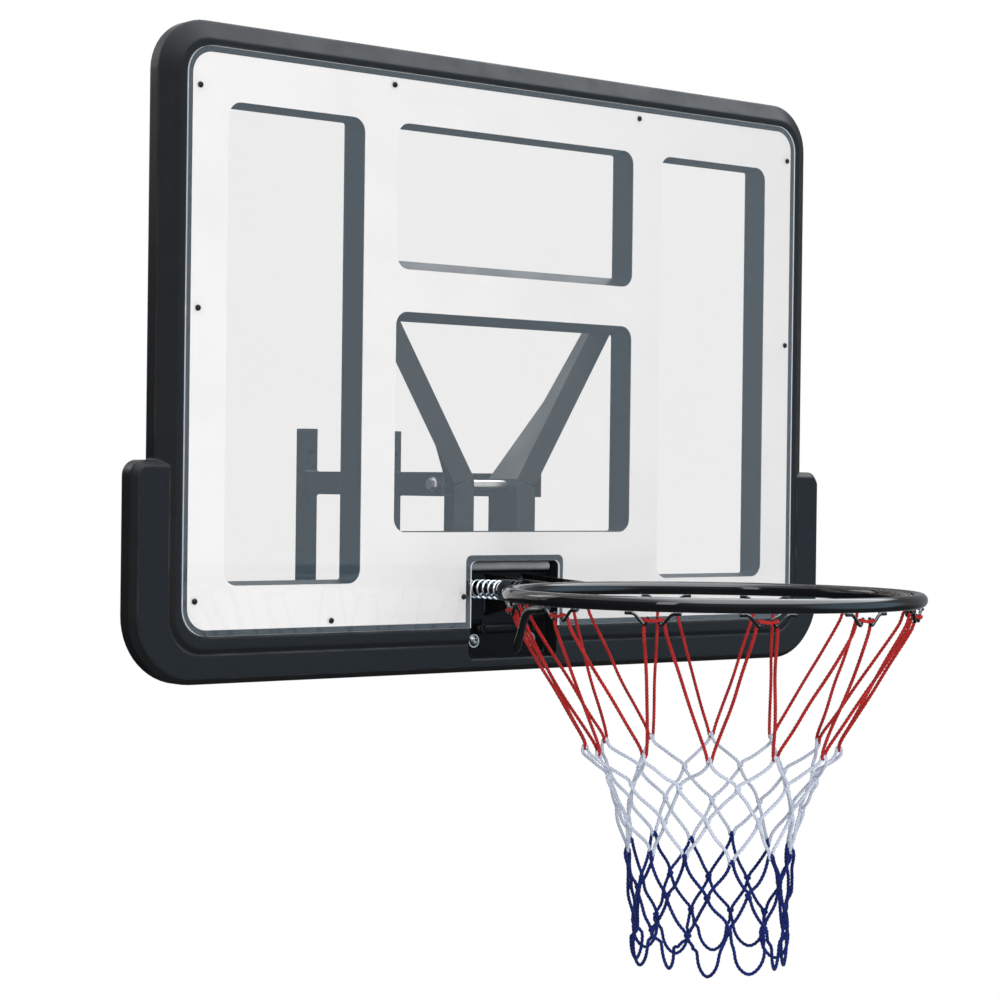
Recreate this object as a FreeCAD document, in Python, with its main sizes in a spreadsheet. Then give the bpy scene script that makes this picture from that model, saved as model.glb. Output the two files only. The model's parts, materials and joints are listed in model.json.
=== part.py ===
import FreeCAD, Part
import math
import os
import re
import Sketcher

# A wall basketball backboard: moulded panel, clear sheet with a white mask, sprung rim, net
# and the bracket that carries them all.
# Millimetres, +Z up. The board faces -Y. The origin is the middle of the four wall bolt
# holes, on the plane where the uprights meet the wall.
# "depth" is counted backwards from the front of the clear sheet, "rise" upwards from the
# lowest edge of the bumper.

SIZES = [
    # Wall bracket
    ("upright_size", 20), ("upright_length", 300), ("upright_spacing", 140), ("tube_wall", 2),
    ("wall_hole_spacing", 240), ("wall_hole_diameter", 9),
    ("cap_head", 2), ("cap_plug", 10), ("cap_clearance", 0.1),
    ("arm_length", 297), ("arm_height", 30), ("arm_width", 20), ("arm_spacing", 160),
    ("arm_end_gap", 3.5), ("bolt_setback", 19),
    ("bolt_diameter", 8), ("bolt_clearance", 0.2), ("hex_across", 13), ("head_height", 5.5),
    ("flange_diameter", 18), ("flange_height", 1.6), ("nut_height", 6.5),
    ("washer_diameter", 17), ("washer_thickness", 1.6), ("thread_end", 4),
    ("sleeve_diameter", 12), ("spacer_diameter", 14),
    # Braces
    ("leaf_thickness", 2.5), ("leaf_width", 30), ("leaf_inner", 35), ("brace_flange", 57),
    ("brace_foot", 14), ("bend_above_bolt", 8), ("lean_angle", 32), ("lean_length", 320),
    ("knee_length", 118), ("knee_flange", 24), ("tip_flange", 9), ("mitre_gap", 5),
    ("mitre_root", 6), ("brace_screw_end", 14), ("brace_screw_rise", 150),
    ("brace_screw_diameter", 6), ("brace_screw_grip", 16),
    ("brace_head_diameter", 13), ("brace_head_height", 4),
    # Moulded panel
    ("board_drop", 151), ("panel_width", 1036), ("panel_height", 734), ("panel_bottom", 19),
    ("panel_depth", 32), ("panel_corner", 60), ("panel_wall", 3),
    ("border_setback", 1), ("slope_width", 22), ("slope_depth", 13),
    ("bumper_width", 1100), ("bumper_top", 254), ("bumper_front", 4), ("bumper_back", 30),
    ("bumper_corner", 80), ("ear_corner", 18), ("bumper_bevel", 7), ("bumper_bevel_depth", 8),
    ("bumper_side_face", 46), ("bumper_low_face", 33), ("bumper_inner_corner", 45),
    ("inner_bevel", 4), ("inner_bevel_depth", 5),
    ("seat_height", 12), ("seat_radius", 17),
    ("block_width", 156), ("block_bottom", 8), ("block_top", 163), ("boss_diameter", 13),
    # Clear sheet and printed mask
    ("sheet_width", 974), ("sheet_height", 668), ("sheet_bottom", 55), ("sheet_corner", 33),
    ("sheet_thickness", 3.5), ("sheet_clearance", 1), ("print_thickness", 0.3),
    ("print_gap", 0.05), ("print_margin", 7),
    ("notch_width", 143), ("notch_height", 82), ("notch_corner", 8), ("notch_margin", 7),
    ("side_window_inner", 239.5), ("side_window_width", 192), ("side_window_height", 551),
    ("side_window_bottom", 112), ("centre_window_width", 381),
    ("upper_window_bottom", 488.5), ("upper_window_height", 175),
    ("lower_window_bottom", 172.5), ("lower_window_height", 265),
    ("window_corner", 17), ("window_draft", 10), ("draft_corner", 3),
    ("side_floor_draft", 4), ("side_ceiling_draft", 4),
    ("upper_floor_draft", 12.5), ("upper_ceiling_draft", 3.5),
    ("lower_floor_draft", 1), ("lower_ceiling_draft", 10),
    ("sheet_screw_diameter", 3.5), ("sheet_screw_length", 17), ("sheet_head_diameter", 7),
    ("sheet_head_height", 1.8), ("sheet_screw_clearance", 0.2),
    ("screw_side_edge", 15.5), ("screw_high_edge", 46), ("screw_middle_edge", 371),
    ("screw_low_edge", 40), ("screw_top_edge", 16), ("screw_top_reach", 198),
    ("screw_foot_edge", 14), ("screw_foot_reach", 282), ("screw_notch_gap", 12),
    ("screw_notch_edge", 38.5),
    # Rim base, carrier and springs
    ("pocket_clearance", 0.5), ("pocket_bottom", 16), ("pocket_depth", 30.5),
    ("base_thickness", 3), ("base_side_gap", 2), ("base_bottom", 20), ("hem_diameter", 13),
    ("hem_gap", 1.5), ("base_corner", 8),
    ("lug_inner", 38), ("lug_thickness", 4), ("lug_height", 13), ("lug_reach", 13.5),
    ("rim_bolt_spacing", 97), ("spring_rise", 102),
    ("base_screw_spacing", 91), ("base_screw_rise", 37),
    ("button_diameter", 17), ("button_flange", 1.4), ("dome_diameter", 13.6), ("dome_height", 3.4),
    ("socket_across", 5), ("socket_depth", 2.6),
    ("pivot_rise", 52), ("pivot_depth", 20.5), ("pin_diameter", 8), ("pin_clearance", 0.05),
    ("pin_end", 3), ("clip_thickness", 1), ("clip_width", 2.5), ("clip_gap", 0.2),
    ("carrier_gap", 0.5), ("carrier_thickness", 3), ("carrier_width", 132),
    ("carrier_bottom", 64), ("carrier_top", 121), ("knuckle_diameter", 12),
    ("knuckle_gap", 2), ("slot_width", 9.5), ("slot_below", 6), ("slot_above", 11),
    ("spring_length", 60), ("spring_diameter", 24.5), ("wire_diameter", 2.6),
    ("spring_turns", 4.5), ("seat_washer_diameter", 25),
    # Rim
    ("ring_inner_diameter", 450), ("ring_bar", 16), ("ring_reach", 350), ("ring_rise", 107),
    ("gusset_inner", 28), ("gusset_thickness", 4), ("gusset_low", 68), ("gusset_high", 120),
    ("gusset_tip_low", 101), ("gusset_tip_high", 113), ("neck_thickness", 4),
    ("hook_wire", 3.6), ("hook_spread", 21), ("hook_gap", 17), ("hook_drop", 17),
    ("hook_tip", 10), ("hook_foot", 10),
    # Net
    ("cord_width", 4.4), ("cord_thickness", 3.6), ("net_hang_gap", 0.1), ("net_top_radius", 232),
    ("row_one_drop", 174), ("row_one_radius", 143), ("row_two_drop", 209),
    ("row_two_radius", 120), ("row_three_drop", 248), ("row_three_radius", 105),
    ("row_four_drop", 291), ("row_four_radius", 94), ("row_five_drop", 333),
    ("row_five_radius", 90), ("row_six_drop", 377), ("row_six_radius", 88),
    ("net_bottom_drop", 427), ("net_bottom_radius", 86),
]
NET_LOOPS = 12
LEFT = -1
RIGHT = 1

doc = FreeCAD.newDocument("backboard")
sheet = doc.addObject("Spreadsheet::Sheet", "Sizes")
for row, (alias, number) in enumerate(SIZES, start=1):
    sheet.set(f"A{row}", alias)
    sheet.set(f"B{row}", str(number))
    sheet.setAlias(f"B{row}", alias)
doc.recompute()
ALIASES = {alias for alias, number in SIZES}
sub_parts = []


# Formulas are written with the sheet's aliases

def bound(formula):
    """The formula with each alias pointed at its cell."""
    return re.sub(r"[a-z]+(?:_[a-z]+)*",
                  lambda word: "Sizes." + word.group(0) if word.group(0) in ALIASES else word.group(0),
                  str(formula))


def value(formula):
    """The number that a formula gives now."""
    return float(sheet.evalExpression(str(formula)))


WALL_GAP = "(panel_depth + seat_height + leaf_thickness + arm_end_gap + arm_length + upright_size)"
BRACE_DEPTH = "(panel_depth + seat_height)"
LEAF_BACK = f"({BRACE_DEPTH} + leaf_thickness)"
ARM_FRONT = f"({LEAF_BACK} + arm_end_gap)"
BOLT_DEPTH = f"({ARM_FRONT} + bolt_setback)"
BRACE_BEND = "(board_drop + arm_spacing / 2 + bend_above_bolt)"
PRINT_DEPTH = "(sheet_thickness + print_gap)"
WEB_DEPTH = f"({PRINT_DEPTH} + print_thickness)"
SLOPE_FOOT = "(border_setback + slope_depth)"
BASE_FRONT = "(pocket_depth - base_thickness)"
CARRIER_BACK = f"({BASE_FRONT} - carrier_gap)"
CARRIER_FRONT = f"({CARRIER_BACK} - carrier_thickness)"
SPRING_END = f"({CARRIER_FRONT} - spring_length)"
RING_RADIUS = "(ring_inner_diameter / 2 + ring_bar / 2)"
SHEET_TOP = "(sheet_bottom + sheet_height)"
NOTCH_TOP = "(sheet_bottom + notch_height)"
PANEL_TOP = "(panel_bottom + panel_height)"
CAP_PLUG_SIZE = "(upright_size - 2 * tube_wall - 2 * cap_clearance)"
BOLT_HOLE = "(bolt_diameter + 2 * bolt_clearance)"
SHEET_HOLE = "(sheet_screw_diameter + 2 * sheet_screw_clearance)"


def at_depth(depth):
    """Y of a depth behind the sheet's front."""
    return f"({depth} - {WALL_GAP})"


def at_rise(rise):
    """Z of a rise above the bumper's lowest edge."""
    return f"({rise} - board_drop)"


def point(x, depth, rise):
    return FreeCAD.Vector(value(x), value(at_depth(depth)), value(at_rise(rise)))


# Document helpers

def keep(item, label):
    """Names a finished sub-part; the label is its file name."""
    item.Label = label
    sub_parts.append(item)
    return item


def set_sizes(item, **formulas):
    for name, formula in formulas.items():
        item.setExpression(name, bound(formula))
    return item


def move(item, x="0", y="0", z="0"):
    for axis, formula in (("x", x), ("y", y), ("z", z)):
        item.setExpression(f"Placement.Base.{axis}", bound(formula))
    return item


def turn(item, axis, degrees):
    item.Placement = FreeCAD.Placement(item.Placement.Base, FreeCAD.Rotation(axis, degrees))
    return item


ALONG_X = FreeCAD.Vector(1, 0, 0)
ALONG_Y = FreeCAD.Vector(0, 1, 0)
ALONG_Z = FreeCAD.Vector(0, 0, 1)


def new_body(name):
    return doc.addObject("PartDesign::Body", name)


def new_sketch(body, name, plane, offset="0"):
    sketch = body.newObject("Sketcher::SketchObject", name)
    support = next(item for item in body.Origin.OriginFeatures if item.Role == plane)
    sketch.AttachmentSupport = (support, [""])
    sketch.MapMode = "FlatFace"
    sketch.setExpression("AttachmentOffset.Base.z", bound(offset))
    return sketch


def front_sketch(body, name, depth):
    """A sketch facing the player, on the plane at this depth."""
    return new_sketch(body, name, "XZ_Plane", f"-{at_depth(depth)}")


def size_constraint(sketch, kind, *geometry, formula):
    index = sketch.addConstraint(Sketcher.Constraint(kind, *geometry, value(formula)))
    sketch.setExpression(f"Constraints[{index}]", bound(formula))


def pin_point(sketch, geometry, vertex, x=None, y=None):
    """Holds a point of the sketch at its distances from the sketch's origin."""
    if x is not None:
        size_constraint(sketch, "DistanceX", -1, 1, geometry, vertex, formula=x)
    if y is not None:
        size_constraint(sketch, "DistanceY", -1, 1, geometry, vertex, formula=y)


def outline(sketch, corners):
    """Straight sides through corners, each a pair of formulas."""
    places = [FreeCAD.Vector(value(x), value(y), 0) for x, y in corners]
    following = places[1:] + places[:1]
    sides = [sketch.addGeometry(Part.LineSegment(a, b)) for a, b in zip(places, following)]
    for side, after in zip(sides, sides[1:] + sides[:1]):
        sketch.addConstraint(Sketcher.Constraint("Coincident", side, 2, after, 1))
    for side, (x, y) in zip(sides, corners):
        pin_point(sketch, side, 1, x, y)


def rectangle(sketch, left, right, bottom, top):
    outline(sketch, [(left, bottom), (right, bottom), (right, top), (left, top)])


def rounded_rectangle(sketch, left, right, bottom, top, low_corner, high_corner=None):
    """Four sides joined by tangent arcs; the upper corners may have a radius of their own."""
    high_corner = high_corner or low_corner
    x0, x1, y0, y1 = (value(side) for side in (left, right, bottom, top))
    low, high = value(low_corner), value(high_corner)
    lines = [((x0 + low, y0), (x1 - low, y0)), ((x1, y0 + low), (x1, y1 - high)),
             ((x1 - high, y1), (x0 + high, y1)), ((x0, y1 - high), (x0, y0 + low))]
    arcs = [((x1 - low, y0 + low), low, 270), ((x1 - high, y1 - high), high, 0),
            ((x0 + high, y1 - high), high, 90), ((x0 + low, y0 + low), low, 180)]
    sides = [sketch.addGeometry(Part.LineSegment(FreeCAD.Vector(*a), FreeCAD.Vector(*b)))
             for a, b in lines]
    bends = []
    for centre, radius, start in arcs:
        circle = Part.Circle(FreeCAD.Vector(*centre), ALONG_Z, radius)
        arc = Part.ArcOfCircle(circle, math.radians(start), math.radians(start + 90))
        bends.append(sketch.addGeometry(arc))
    for side, bend, after in zip(sides, bends, sides[1:] + sides[:1]):
        sketch.addConstraint(Sketcher.Constraint("Tangent", side, 2, bend, 1))
        sketch.addConstraint(Sketcher.Constraint("Tangent", bend, 2, after, 1))
    for side, direction in zip(sides, ("Horizontal", "Vertical", "Horizontal", "Vertical")):
        sketch.addConstraint(Sketcher.Constraint(direction, side))
    for bend, radius in zip(bends, (low_corner, high_corner, high_corner, low_corner)):
        size_constraint(sketch, "Radius", bend, formula=radius)
    pin_point(sketch, sides[0], 1, y=bottom)
    pin_point(sketch, sides[1], 1, x=right)
    pin_point(sketch, sides[2], 1, y=top)
    pin_point(sketch, sides[3], 1, x=left)


def circle(sketch, x, y, diameter):
    centre = FreeCAD.Vector(value(x), value(y), 0)
    index = sketch.addGeometry(Part.Circle(centre, ALONG_Z, value(diameter) / 2))
    size_constraint(sketch, "Diameter", index, formula=diameter)
    pin_point(sketch, index, 3, x, y)


def circles(sketch, places, diameter):
    for x, rise in places:
        circle(sketch, x, at_rise(rise), diameter)


def pad(body, sketch, length, reverse=False, middle=False):
    feature = body.newObject("PartDesign::Pad", sketch.Name + "_pad")
    feature.Profile = sketch
    feature.Reversed = reverse
    if middle:
        feature.Midplane = True
    set_sizes(feature, Length=length)
    doc.recompute()
    return feature


def pocket(body, sketch, length, reverse=False, middle=False):
    """Cuts a sketch into the body and makes sure that it removed something."""
    before = body.Shape.Volume
    feature = body.newObject("PartDesign::Pocket", sketch.Name + "_pocket")
    feature.Profile = sketch
    feature.Reversed = reverse
    if middle:
        feature.Midplane = True
    set_sizes(feature, Length=length)
    doc.recompute()
    if body.Shape.Volume >= before:
        raise RuntimeError(f"{sketch.Name} cuts nothing")
    return feature


def loft(body, kind, first, last):
    feature = body.newObject(f"PartDesign::{kind}", first.Name + "_loft")
    feature.Profile = first
    feature.Sections = [last]
    feature.Ruled = True
    doc.recompute()
    return feature


def cylinder(name, diameter, length):
    item = doc.addObject("Part::Cylinder", name)
    return set_sizes(item, Radius=f"({diameter}) / 2", Height=length)


def hexagon(name, across, height):
    item = doc.addObject("Part::Prism", name)
    item.Polygon = 6
    return set_sizes(item, Circumradius=f"({across}) / sqrt(3)", Height=height)


def cut(name, base, tool):
    item = doc.addObject("Part::Cut", name)
    item.Base = base
    item.Tool = tool
    return item


def fuse(name, *pieces):
    item = doc.addObject("Part::MultiFuse", name)
    item.Shapes = list(pieces)
    return item


def shaped(name, shape):
    item = doc.addObject("Part::Feature", name)
    item.Shape = shape
    return item


def copies(label, pattern, places):
    """One node of equal solids: the pattern's shape at each place."""
    doc.recompute()
    shapes = []
    for place in places:
        shape = pattern.Shape.copy()
        shape.Placement = place.multiply(shape.Placement)
        shapes.append(shape)
    return keep(shaped(label, Part.makeCompound(shapes)), label)


def shifted(x, y, z):
    return FreeCAD.Placement(FreeCAD.Vector(x, y, z), FreeCAD.Rotation())


def side_name(side):
    return "left" if side == LEFT else "right"


# Wall bracket

def make_upright(side):
    name = f"{side_name(side)}_upright"
    body = new_body(name)
    section = new_sketch(body, name + "_section", "XY_Plane", "-upright_length / 2")
    rectangle(section, "-upright_size / 2", "upright_size / 2", "-upright_size", "0")
    rectangle(section, "tube_wall - upright_size / 2", "upright_size / 2 - tube_wall",
              "tube_wall - upright_size", "-tube_wall")
    pad(body, section, "upright_length")
    holes = new_sketch(body, name + "_holes", "XZ_Plane")
    for end in ("wall_hole_spacing / 2", "-wall_hole_spacing / 2"):
        circle(holes, "0", end, "wall_hole_diameter")
    pocket(body, holes, "upright_size", reverse=True)
    move(body, x=f"{side} * upright_spacing / 2")
    keep(body, name)


def make_caps():
    """Push-in caps that close both ends of both uprights."""
    plug = set_sizes(doc.addObject("Part::Box", "cap_plug_block"), Length=CAP_PLUG_SIZE,
                     Width=CAP_PLUG_SIZE, Height="cap_plug")
    move(plug, x=f"-{CAP_PLUG_SIZE} / 2", y=f"-{CAP_PLUG_SIZE} / 2", z="-cap_plug")
    head = set_sizes(doc.addObject("Part::Box", "cap_head_block"), Length="upright_size",
                     Width="upright_size", Height="cap_head")
    move(head, x="-upright_size / 2", y="-upright_size / 2")
    cap = fuse("upright_cap", plug, head)
    half, middle = value("upright_length / 2"), -value("upright_size / 2")
    places = []
    for side in (LEFT, RIGHT):
        x = side * value("upright_spacing / 2")
        places.append(shifted(x, middle, half))
        upside_down = FreeCAD.Rotation(ALONG_X, 180)
        places.append(FreeCAD.Placement(FreeCAD.Vector(x, middle, -half), upside_down))
    copies("upright_caps", cap, places)


def make_arm(side, level):
    name = f"{side_name(side)}_{'upper' if level > 0 else 'lower'}_arm"
    body = new_body(name)
    section = new_sketch(body, name + "_section", "XZ_Plane", "upright_size")
    rectangle(section, "-arm_width / 2", "arm_width / 2", "-arm_height / 2", "arm_height / 2")
    rectangle(section, "tube_wall - arm_width / 2", "arm_width / 2 - tube_wall",
              "tube_wall - arm_height / 2", "arm_height / 2 - tube_wall")
    pad(body, section, "arm_length")
    hole = new_sketch(body, name + "_hole", "YZ_Plane")
    circle(hole, at_depth(BOLT_DEPTH), "0", BOLT_HOLE)
    pocket(body, hole, "arm_width", middle=True)
    move(body, x=f"{side} * upright_spacing / 2", z=f"{level} * arm_spacing / 2")
    keep(body, name)


ARM_OUTSIDE = "(upright_spacing / 2 + arm_width / 2)"
ARM_INSIDE = "(upright_spacing / 2 - arm_width / 2)"


def along_bolt(item, x, level):
    """Turns a piece from Z to X and sets it on the through bolt's line."""
    turn(item, ALONG_Y, 90)
    return move(item, x=x, y=at_depth(BOLT_DEPTH), z=f"{level} * arm_spacing / 2")


def make_through_bolt(level):
    """Flanged hex bolt from the left arm through both braces to the right arm."""
    name = "upper_through_bolt" if level > 0 else "lower_through_bolt"
    grip = f"(2 * {ARM_OUTSIDE} + washer_thickness + nut_height + thread_end)"
    shank = along_bolt(cylinder(name + "_shank", "bolt_diameter", grip), f"-{ARM_OUTSIDE}", level)
    flange = cylinder(name + "_flange", "flange_diameter", "flange_height")
    along_bolt(flange, f"-{ARM_OUTSIDE} - flange_height", level)
    head = hexagon(name + "_hex", "hex_across", "head_height")
    along_bolt(head, f"-{ARM_OUTSIDE} - flange_height - head_height", level)
    keep(fuse(name, shank, flange, head), name)


def ring_along_bolt(name, diameter, length, x, level):
    outer = along_bolt(cylinder(name + "_outer", diameter, length), x, level)
    bore = along_bolt(cylinder(name + "_bore", BOLT_HOLE, length), x, level)
    return cut(name, outer, bore)


def make_sleeve(level):
    """Tube that keeps the two braces apart on the through bolt."""
    name = "upper_sleeve" if level > 0 else "lower_sleeve"
    keep(ring_along_bolt(name, "sleeve_diameter", "2 * leaf_inner", "-leaf_inner", level), name)


def make_bolt_hardware():
    """Nuts and washers on the bolts' right ends, and spacers between braces and arms."""
    nuts, washers, spacers = [], [], []
    brace_outside = "(leaf_inner + leaf_thickness)"
    for level, word in ((1, "upper"), (-1, "lower")):
        washers.append(ring_along_bolt(f"{word}_washer", "washer_diameter", "washer_thickness",
                                       ARM_OUTSIDE, level))
        nut = hexagon(f"{word}_nut_hex", "hex_across", "nut_height")
        along_bolt(nut, f"{ARM_OUTSIDE} + washer_thickness", level)
        thread = cylinder(f"{word}_nut_thread", "bolt_diameter", "nut_height")
        along_bolt(thread, f"{ARM_OUTSIDE} + washer_thickness", level)
        nuts.append(cut(f"{word}_nut", nut, thread))
        for side in (LEFT, RIGHT):
            length = f"({ARM_INSIDE} - {brace_outside})"
            start = brace_outside if side == RIGHT else f"-{ARM_INSIDE}"
            spacers.append(ring_along_bolt(f"{word}_{side_name(side)}_spacer", "spacer_diameter",
                                           length, start, level))
    for label, group in (("through_bolt_nuts", nuts), ("through_bolt_washers", washers),
                         ("arm_spacers", spacers)):
        joined = doc.addObject("Part::Compound", label)
        joined.Links = group
        keep(joined, label)


# Braces

# Bolts of the right side that go through rim base, panel and brace: place from the middle, and rise.
RIM_BOLTS = [("base_screw_spacing / 2", "base_screw_rise"), ("rim_bolt_spacing / 2", "spring_rise")]


def lean_point(along, across):
    """A place on the leaning arm of the right brace: along its ridge, and outward from it."""
    angle = math.radians(value("lean_angle"))
    x = value("leaf_inner") + along * math.sin(angle) + across * math.cos(angle)
    rise = value(BRACE_BEND) + along * math.cos(angle) - across * math.sin(angle)
    return x, rise


def brace_screw_places():
    """Where the brace is screwed to the panel: on the post, and near the arm's tip."""
    tip = lean_point(value("lean_length - brace_screw_end"), value("leaf_width") / 2)
    return [(value("rim_bolt_spacing / 2"), value("brace_screw_rise")), tip]


def plate(corners, thickness):
    """A flat plate from its corners, thickened along a vector."""
    return Part.Face(Part.makePolygon(corners + corners[:1])).extrude(thickness)


def make_brace(side):
    """Folded angle: a post behind the rim that is mitred and bent outward into a leaning arm."""
    inner, width = value("leaf_inner"), value("leaf_width")
    foot, bend = value("brace_foot"), value(BRACE_BEND)
    thick, length = value("leaf_thickness"), value("lean_length")
    lean = math.radians(value("lean_angle"))
    half_lean = math.tan(lean / 2)
    gap, root = value("mitre_gap"), value("mitre_root")
    post_outer = (inner + width, bend - width * half_lean - gap / 2)
    arm_outer = lean_point(gap / 2 + width * half_lean, width)
    slit_root = (inner + root, bend - root * half_lean)
    leaf = [(inner, foot), (inner + width, foot), post_outer, slit_root, arm_outer,
            lean_point(length, width), lean_point(length, 0), (inner, bend)]
    backward = FreeCAD.Vector(0, thick, 0)
    shape = plate([point(x, BRACE_DEPTH, rise) for x, rise in leaf], backward)

    front, deep = value(BRACE_DEPTH), value("brace_flange")
    post = [(foot, 0), (bend, 0), (bend, deep), (foot, deep)]
    shape = shape.fuse(plate([point(inner, front + depth, rise) for rise, depth in post],
                             FreeCAD.Vector(thick, 0, 0)))
    knee, tip = value("knee_flange"), value("tip_flange")
    arm = [(0, 0), (length, 0), (length, tip), (value("knee_length"), knee), (0, deep)]
    corners = []
    for along, depth in arm:
        x, rise = lean_point(along, 0)
        corners.append(point(x, front + depth, rise))
    outward = FreeCAD.Vector(math.cos(lean), 0, -math.sin(lean)) * thick
    shape = shape.fuse(plate(corners, outward)).removeSplitter()

    hole = value(BOLT_HOLE) / 2
    drilled = [(value(x), value(rise), hole) for x, rise in RIM_BOLTS]
    drilled += [(x, rise, value("brace_screw_diameter / 2 + bolt_clearance"))
                for x, rise in brace_screw_places()]
    for x, rise, radius in drilled:
        shape = shape.cut(Part.makeCylinder(radius, thick, point(x, BRACE_DEPTH, rise), ALONG_Y))
    for level in (1, -1):
        start = FreeCAD.Vector(inner, value(at_depth(BOLT_DEPTH)), level * value("arm_spacing / 2"))
        shape = shape.cut(Part.makeCylinder(hole, thick, start, ALONG_X))
    if side == LEFT:
        shape = shape.mirror(FreeCAD.Vector(), ALONG_X)
    name = f"{side_name(side)}_brace"
    keep(shaped(name, shape), name)


def screw_shape(name, diameter, length, head_diameter, head_height):
    """Round-headed screw along +Y, its head's underside at the origin."""
    shank = turn(cylinder(name + "_shank", diameter, length), ALONG_X, -90)
    head = turn(cylinder(name + "_head", head_diameter, head_height), ALONG_X, 90)
    return fuse(name, shank, head)


def both_sides(places):
    return [(side * x, rise) for x, rise in places for side in (LEFT, RIGHT)]


def make_brace_screws():
    screw = screw_shape("brace_screw", "brace_screw_diameter",
                        "brace_screw_grip + leaf_thickness", "brace_head_diameter",
                        "brace_head_height")
    from_behind = FreeCAD.Rotation(ALONG_Z, 180)
    places = [FreeCAD.Placement(point(x, LEAF_BACK, rise), from_behind)
              for x, rise in both_sides(brace_screw_places())]
    copies("brace_screws", screw, places)


# Moulded panel

WINDOWS = {
    "left_window": ("-side_window_inner - side_window_width", "-side_window_inner",
                    "side_window_bottom", "side_window_height"),
    "right_window": ("side_window_inner", "side_window_inner + side_window_width",
                     "side_window_bottom", "side_window_height"),
    "upper_window": ("-centre_window_width / 2", "centre_window_width / 2",
                     "upper_window_bottom", "upper_window_height"),
    "lower_window": ("-centre_window_width / 2", "centre_window_width / 2",
                     "lower_window_bottom", "lower_window_height"),
}
# How far each window's floor and ceiling lean in towards the back of the panel.
WINDOW_DRAFTS = {
    "left_window": ("side_floor_draft", "side_ceiling_draft"),
    "right_window": ("side_floor_draft", "side_ceiling_draft"),
    "upper_window": ("upper_floor_draft", "upper_ceiling_draft"),
    "lower_window": ("lower_floor_draft", "lower_ceiling_draft"),
}
SCREW_COLUMN = "(sheet_width / 2 - screw_side_edge)"
SHEET_SCREWS = [
    (SCREW_COLUMN, f"({SHEET_TOP} - screw_high_edge)"),
    (SCREW_COLUMN, "(sheet_bottom + screw_middle_edge)"),
    (SCREW_COLUMN, "(sheet_bottom + screw_low_edge)"),
    ("screw_top_reach", f"({SHEET_TOP} - screw_top_edge)"),
    ("screw_foot_reach", "(sheet_bottom + screw_foot_edge)"),
    ("(notch_width / 2 + screw_notch_gap)", "(sheet_bottom + screw_notch_edge)"),
]


def mirrored(places):
    """Each place with its mirror image, as formulas."""
    return [(f"{side} * ({x})", rise) for x, rise in places for side in (LEFT, RIGHT)]


def window_outline(sketch, window, corner, sides="0", floor="0", ceiling="0"):
    """A window's outline, drawn in from its sides, its floor and its ceiling."""
    left, right, bottom, height = WINDOWS[window]
    rounded_rectangle(sketch, f"{left} + {sides}", f"{right} - {sides}",
                      at_rise(f"({bottom} + {floor})"), at_rise(f"({bottom} + {height} - {ceiling})"),
                      corner)


def board_outline(sketch, width, bottom, top, low_corner, high_corner, inset="0"):
    """A rounded outline symmetric about the board's middle, drawn in by an inset."""
    rounded_rectangle(sketch, f"{inset} - {width} / 2", f"{width} / 2 - {inset}",
                      at_rise(f"({bottom} + {inset})"), at_rise(f"({top} - {inset})"),
                      f"{low_corner} - {inset}", f"{high_corner} - {inset}")


def pocket_outline(sketch, grow):
    """The hollow that the rim base sits in."""
    half = f"(notch_width / 2 + pocket_clearance + {grow})"
    rounded_rectangle(sketch, f"-{half}", half, at_rise(f"(pocket_bottom - {grow})"),
                      at_rise(f"({NOTCH_TOP} + pocket_clearance + {grow})"), "notch_corner")


def make_bumper(body):
    """Raised bumper along the lower edge, with an ear up each side."""
    low = front_sketch(body, "bumper_outline", "bumper_back")
    board_outline(low, "bumper_width", "0", "bumper_top", "bumper_corner", "ear_corner")
    pad(body, low, "bumper_back - bumper_front - bumper_bevel_depth")
    foot = front_sketch(body, "bumper_bevel_foot", "(bumper_front + bumper_bevel_depth)")
    board_outline(foot, "bumper_width", "0", "bumper_top", "bumper_corner", "ear_corner")
    face = front_sketch(body, "bumper_bevel_face", "bumper_front")
    board_outline(face, "bumper_width", "0", "bumper_top", "bumper_corner", "ear_corner",
                  "bumper_bevel")
    loft(body, "AdditiveLoft", foot, face)
    inside = "(bumper_width - 2 * bumper_side_face)"
    beyond = "(2 * bumper_top)"
    brim = front_sketch(body, "bumper_inner_brim", "bumper_front")
    board_outline(brim, inside, "bumper_low_face", beyond, "bumper_inner_corner",
                  "bumper_inner_corner")
    floor = front_sketch(body, "bumper_inner_floor", "(bumper_front + inner_bevel_depth)")
    board_outline(floor, inside, "bumper_low_face", beyond, "bumper_inner_corner",
                  "bumper_inner_corner", "inner_bevel")
    loft(body, "SubtractiveLoft", brim, floor)


def make_border(body):
    """The panel proper, whose border slopes forward from the outer wall to the sheet."""
    corners = ("panel_corner", "panel_corner")
    back = front_sketch(body, "panel_outline", "panel_depth")
    board_outline(back, "panel_width", "panel_bottom", PANEL_TOP, *corners)
    pad(body, back, f"panel_depth - {SLOPE_FOOT}")
    foot = front_sketch(body, "slope_foot", SLOPE_FOOT)
    board_outline(foot, "panel_width", "panel_bottom", PANEL_TOP, *corners)
    crest = front_sketch(body, "slope_crest", "border_setback")
    board_outline(crest, "panel_width", "panel_bottom", PANEL_TOP, *corners, "slope_width")
    loft(body, "AdditiveLoft", foot, crest)
    recess = front_sketch(body, "sheet_recess", "border_setback")
    board_outline(recess, "sheet_width", "sheet_bottom", SHEET_TOP, "sheet_corner",
                  "sheet_corner", "-sheet_clearance")
    pocket(body, recess, f"{WEB_DEPTH} - border_setback")


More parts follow.
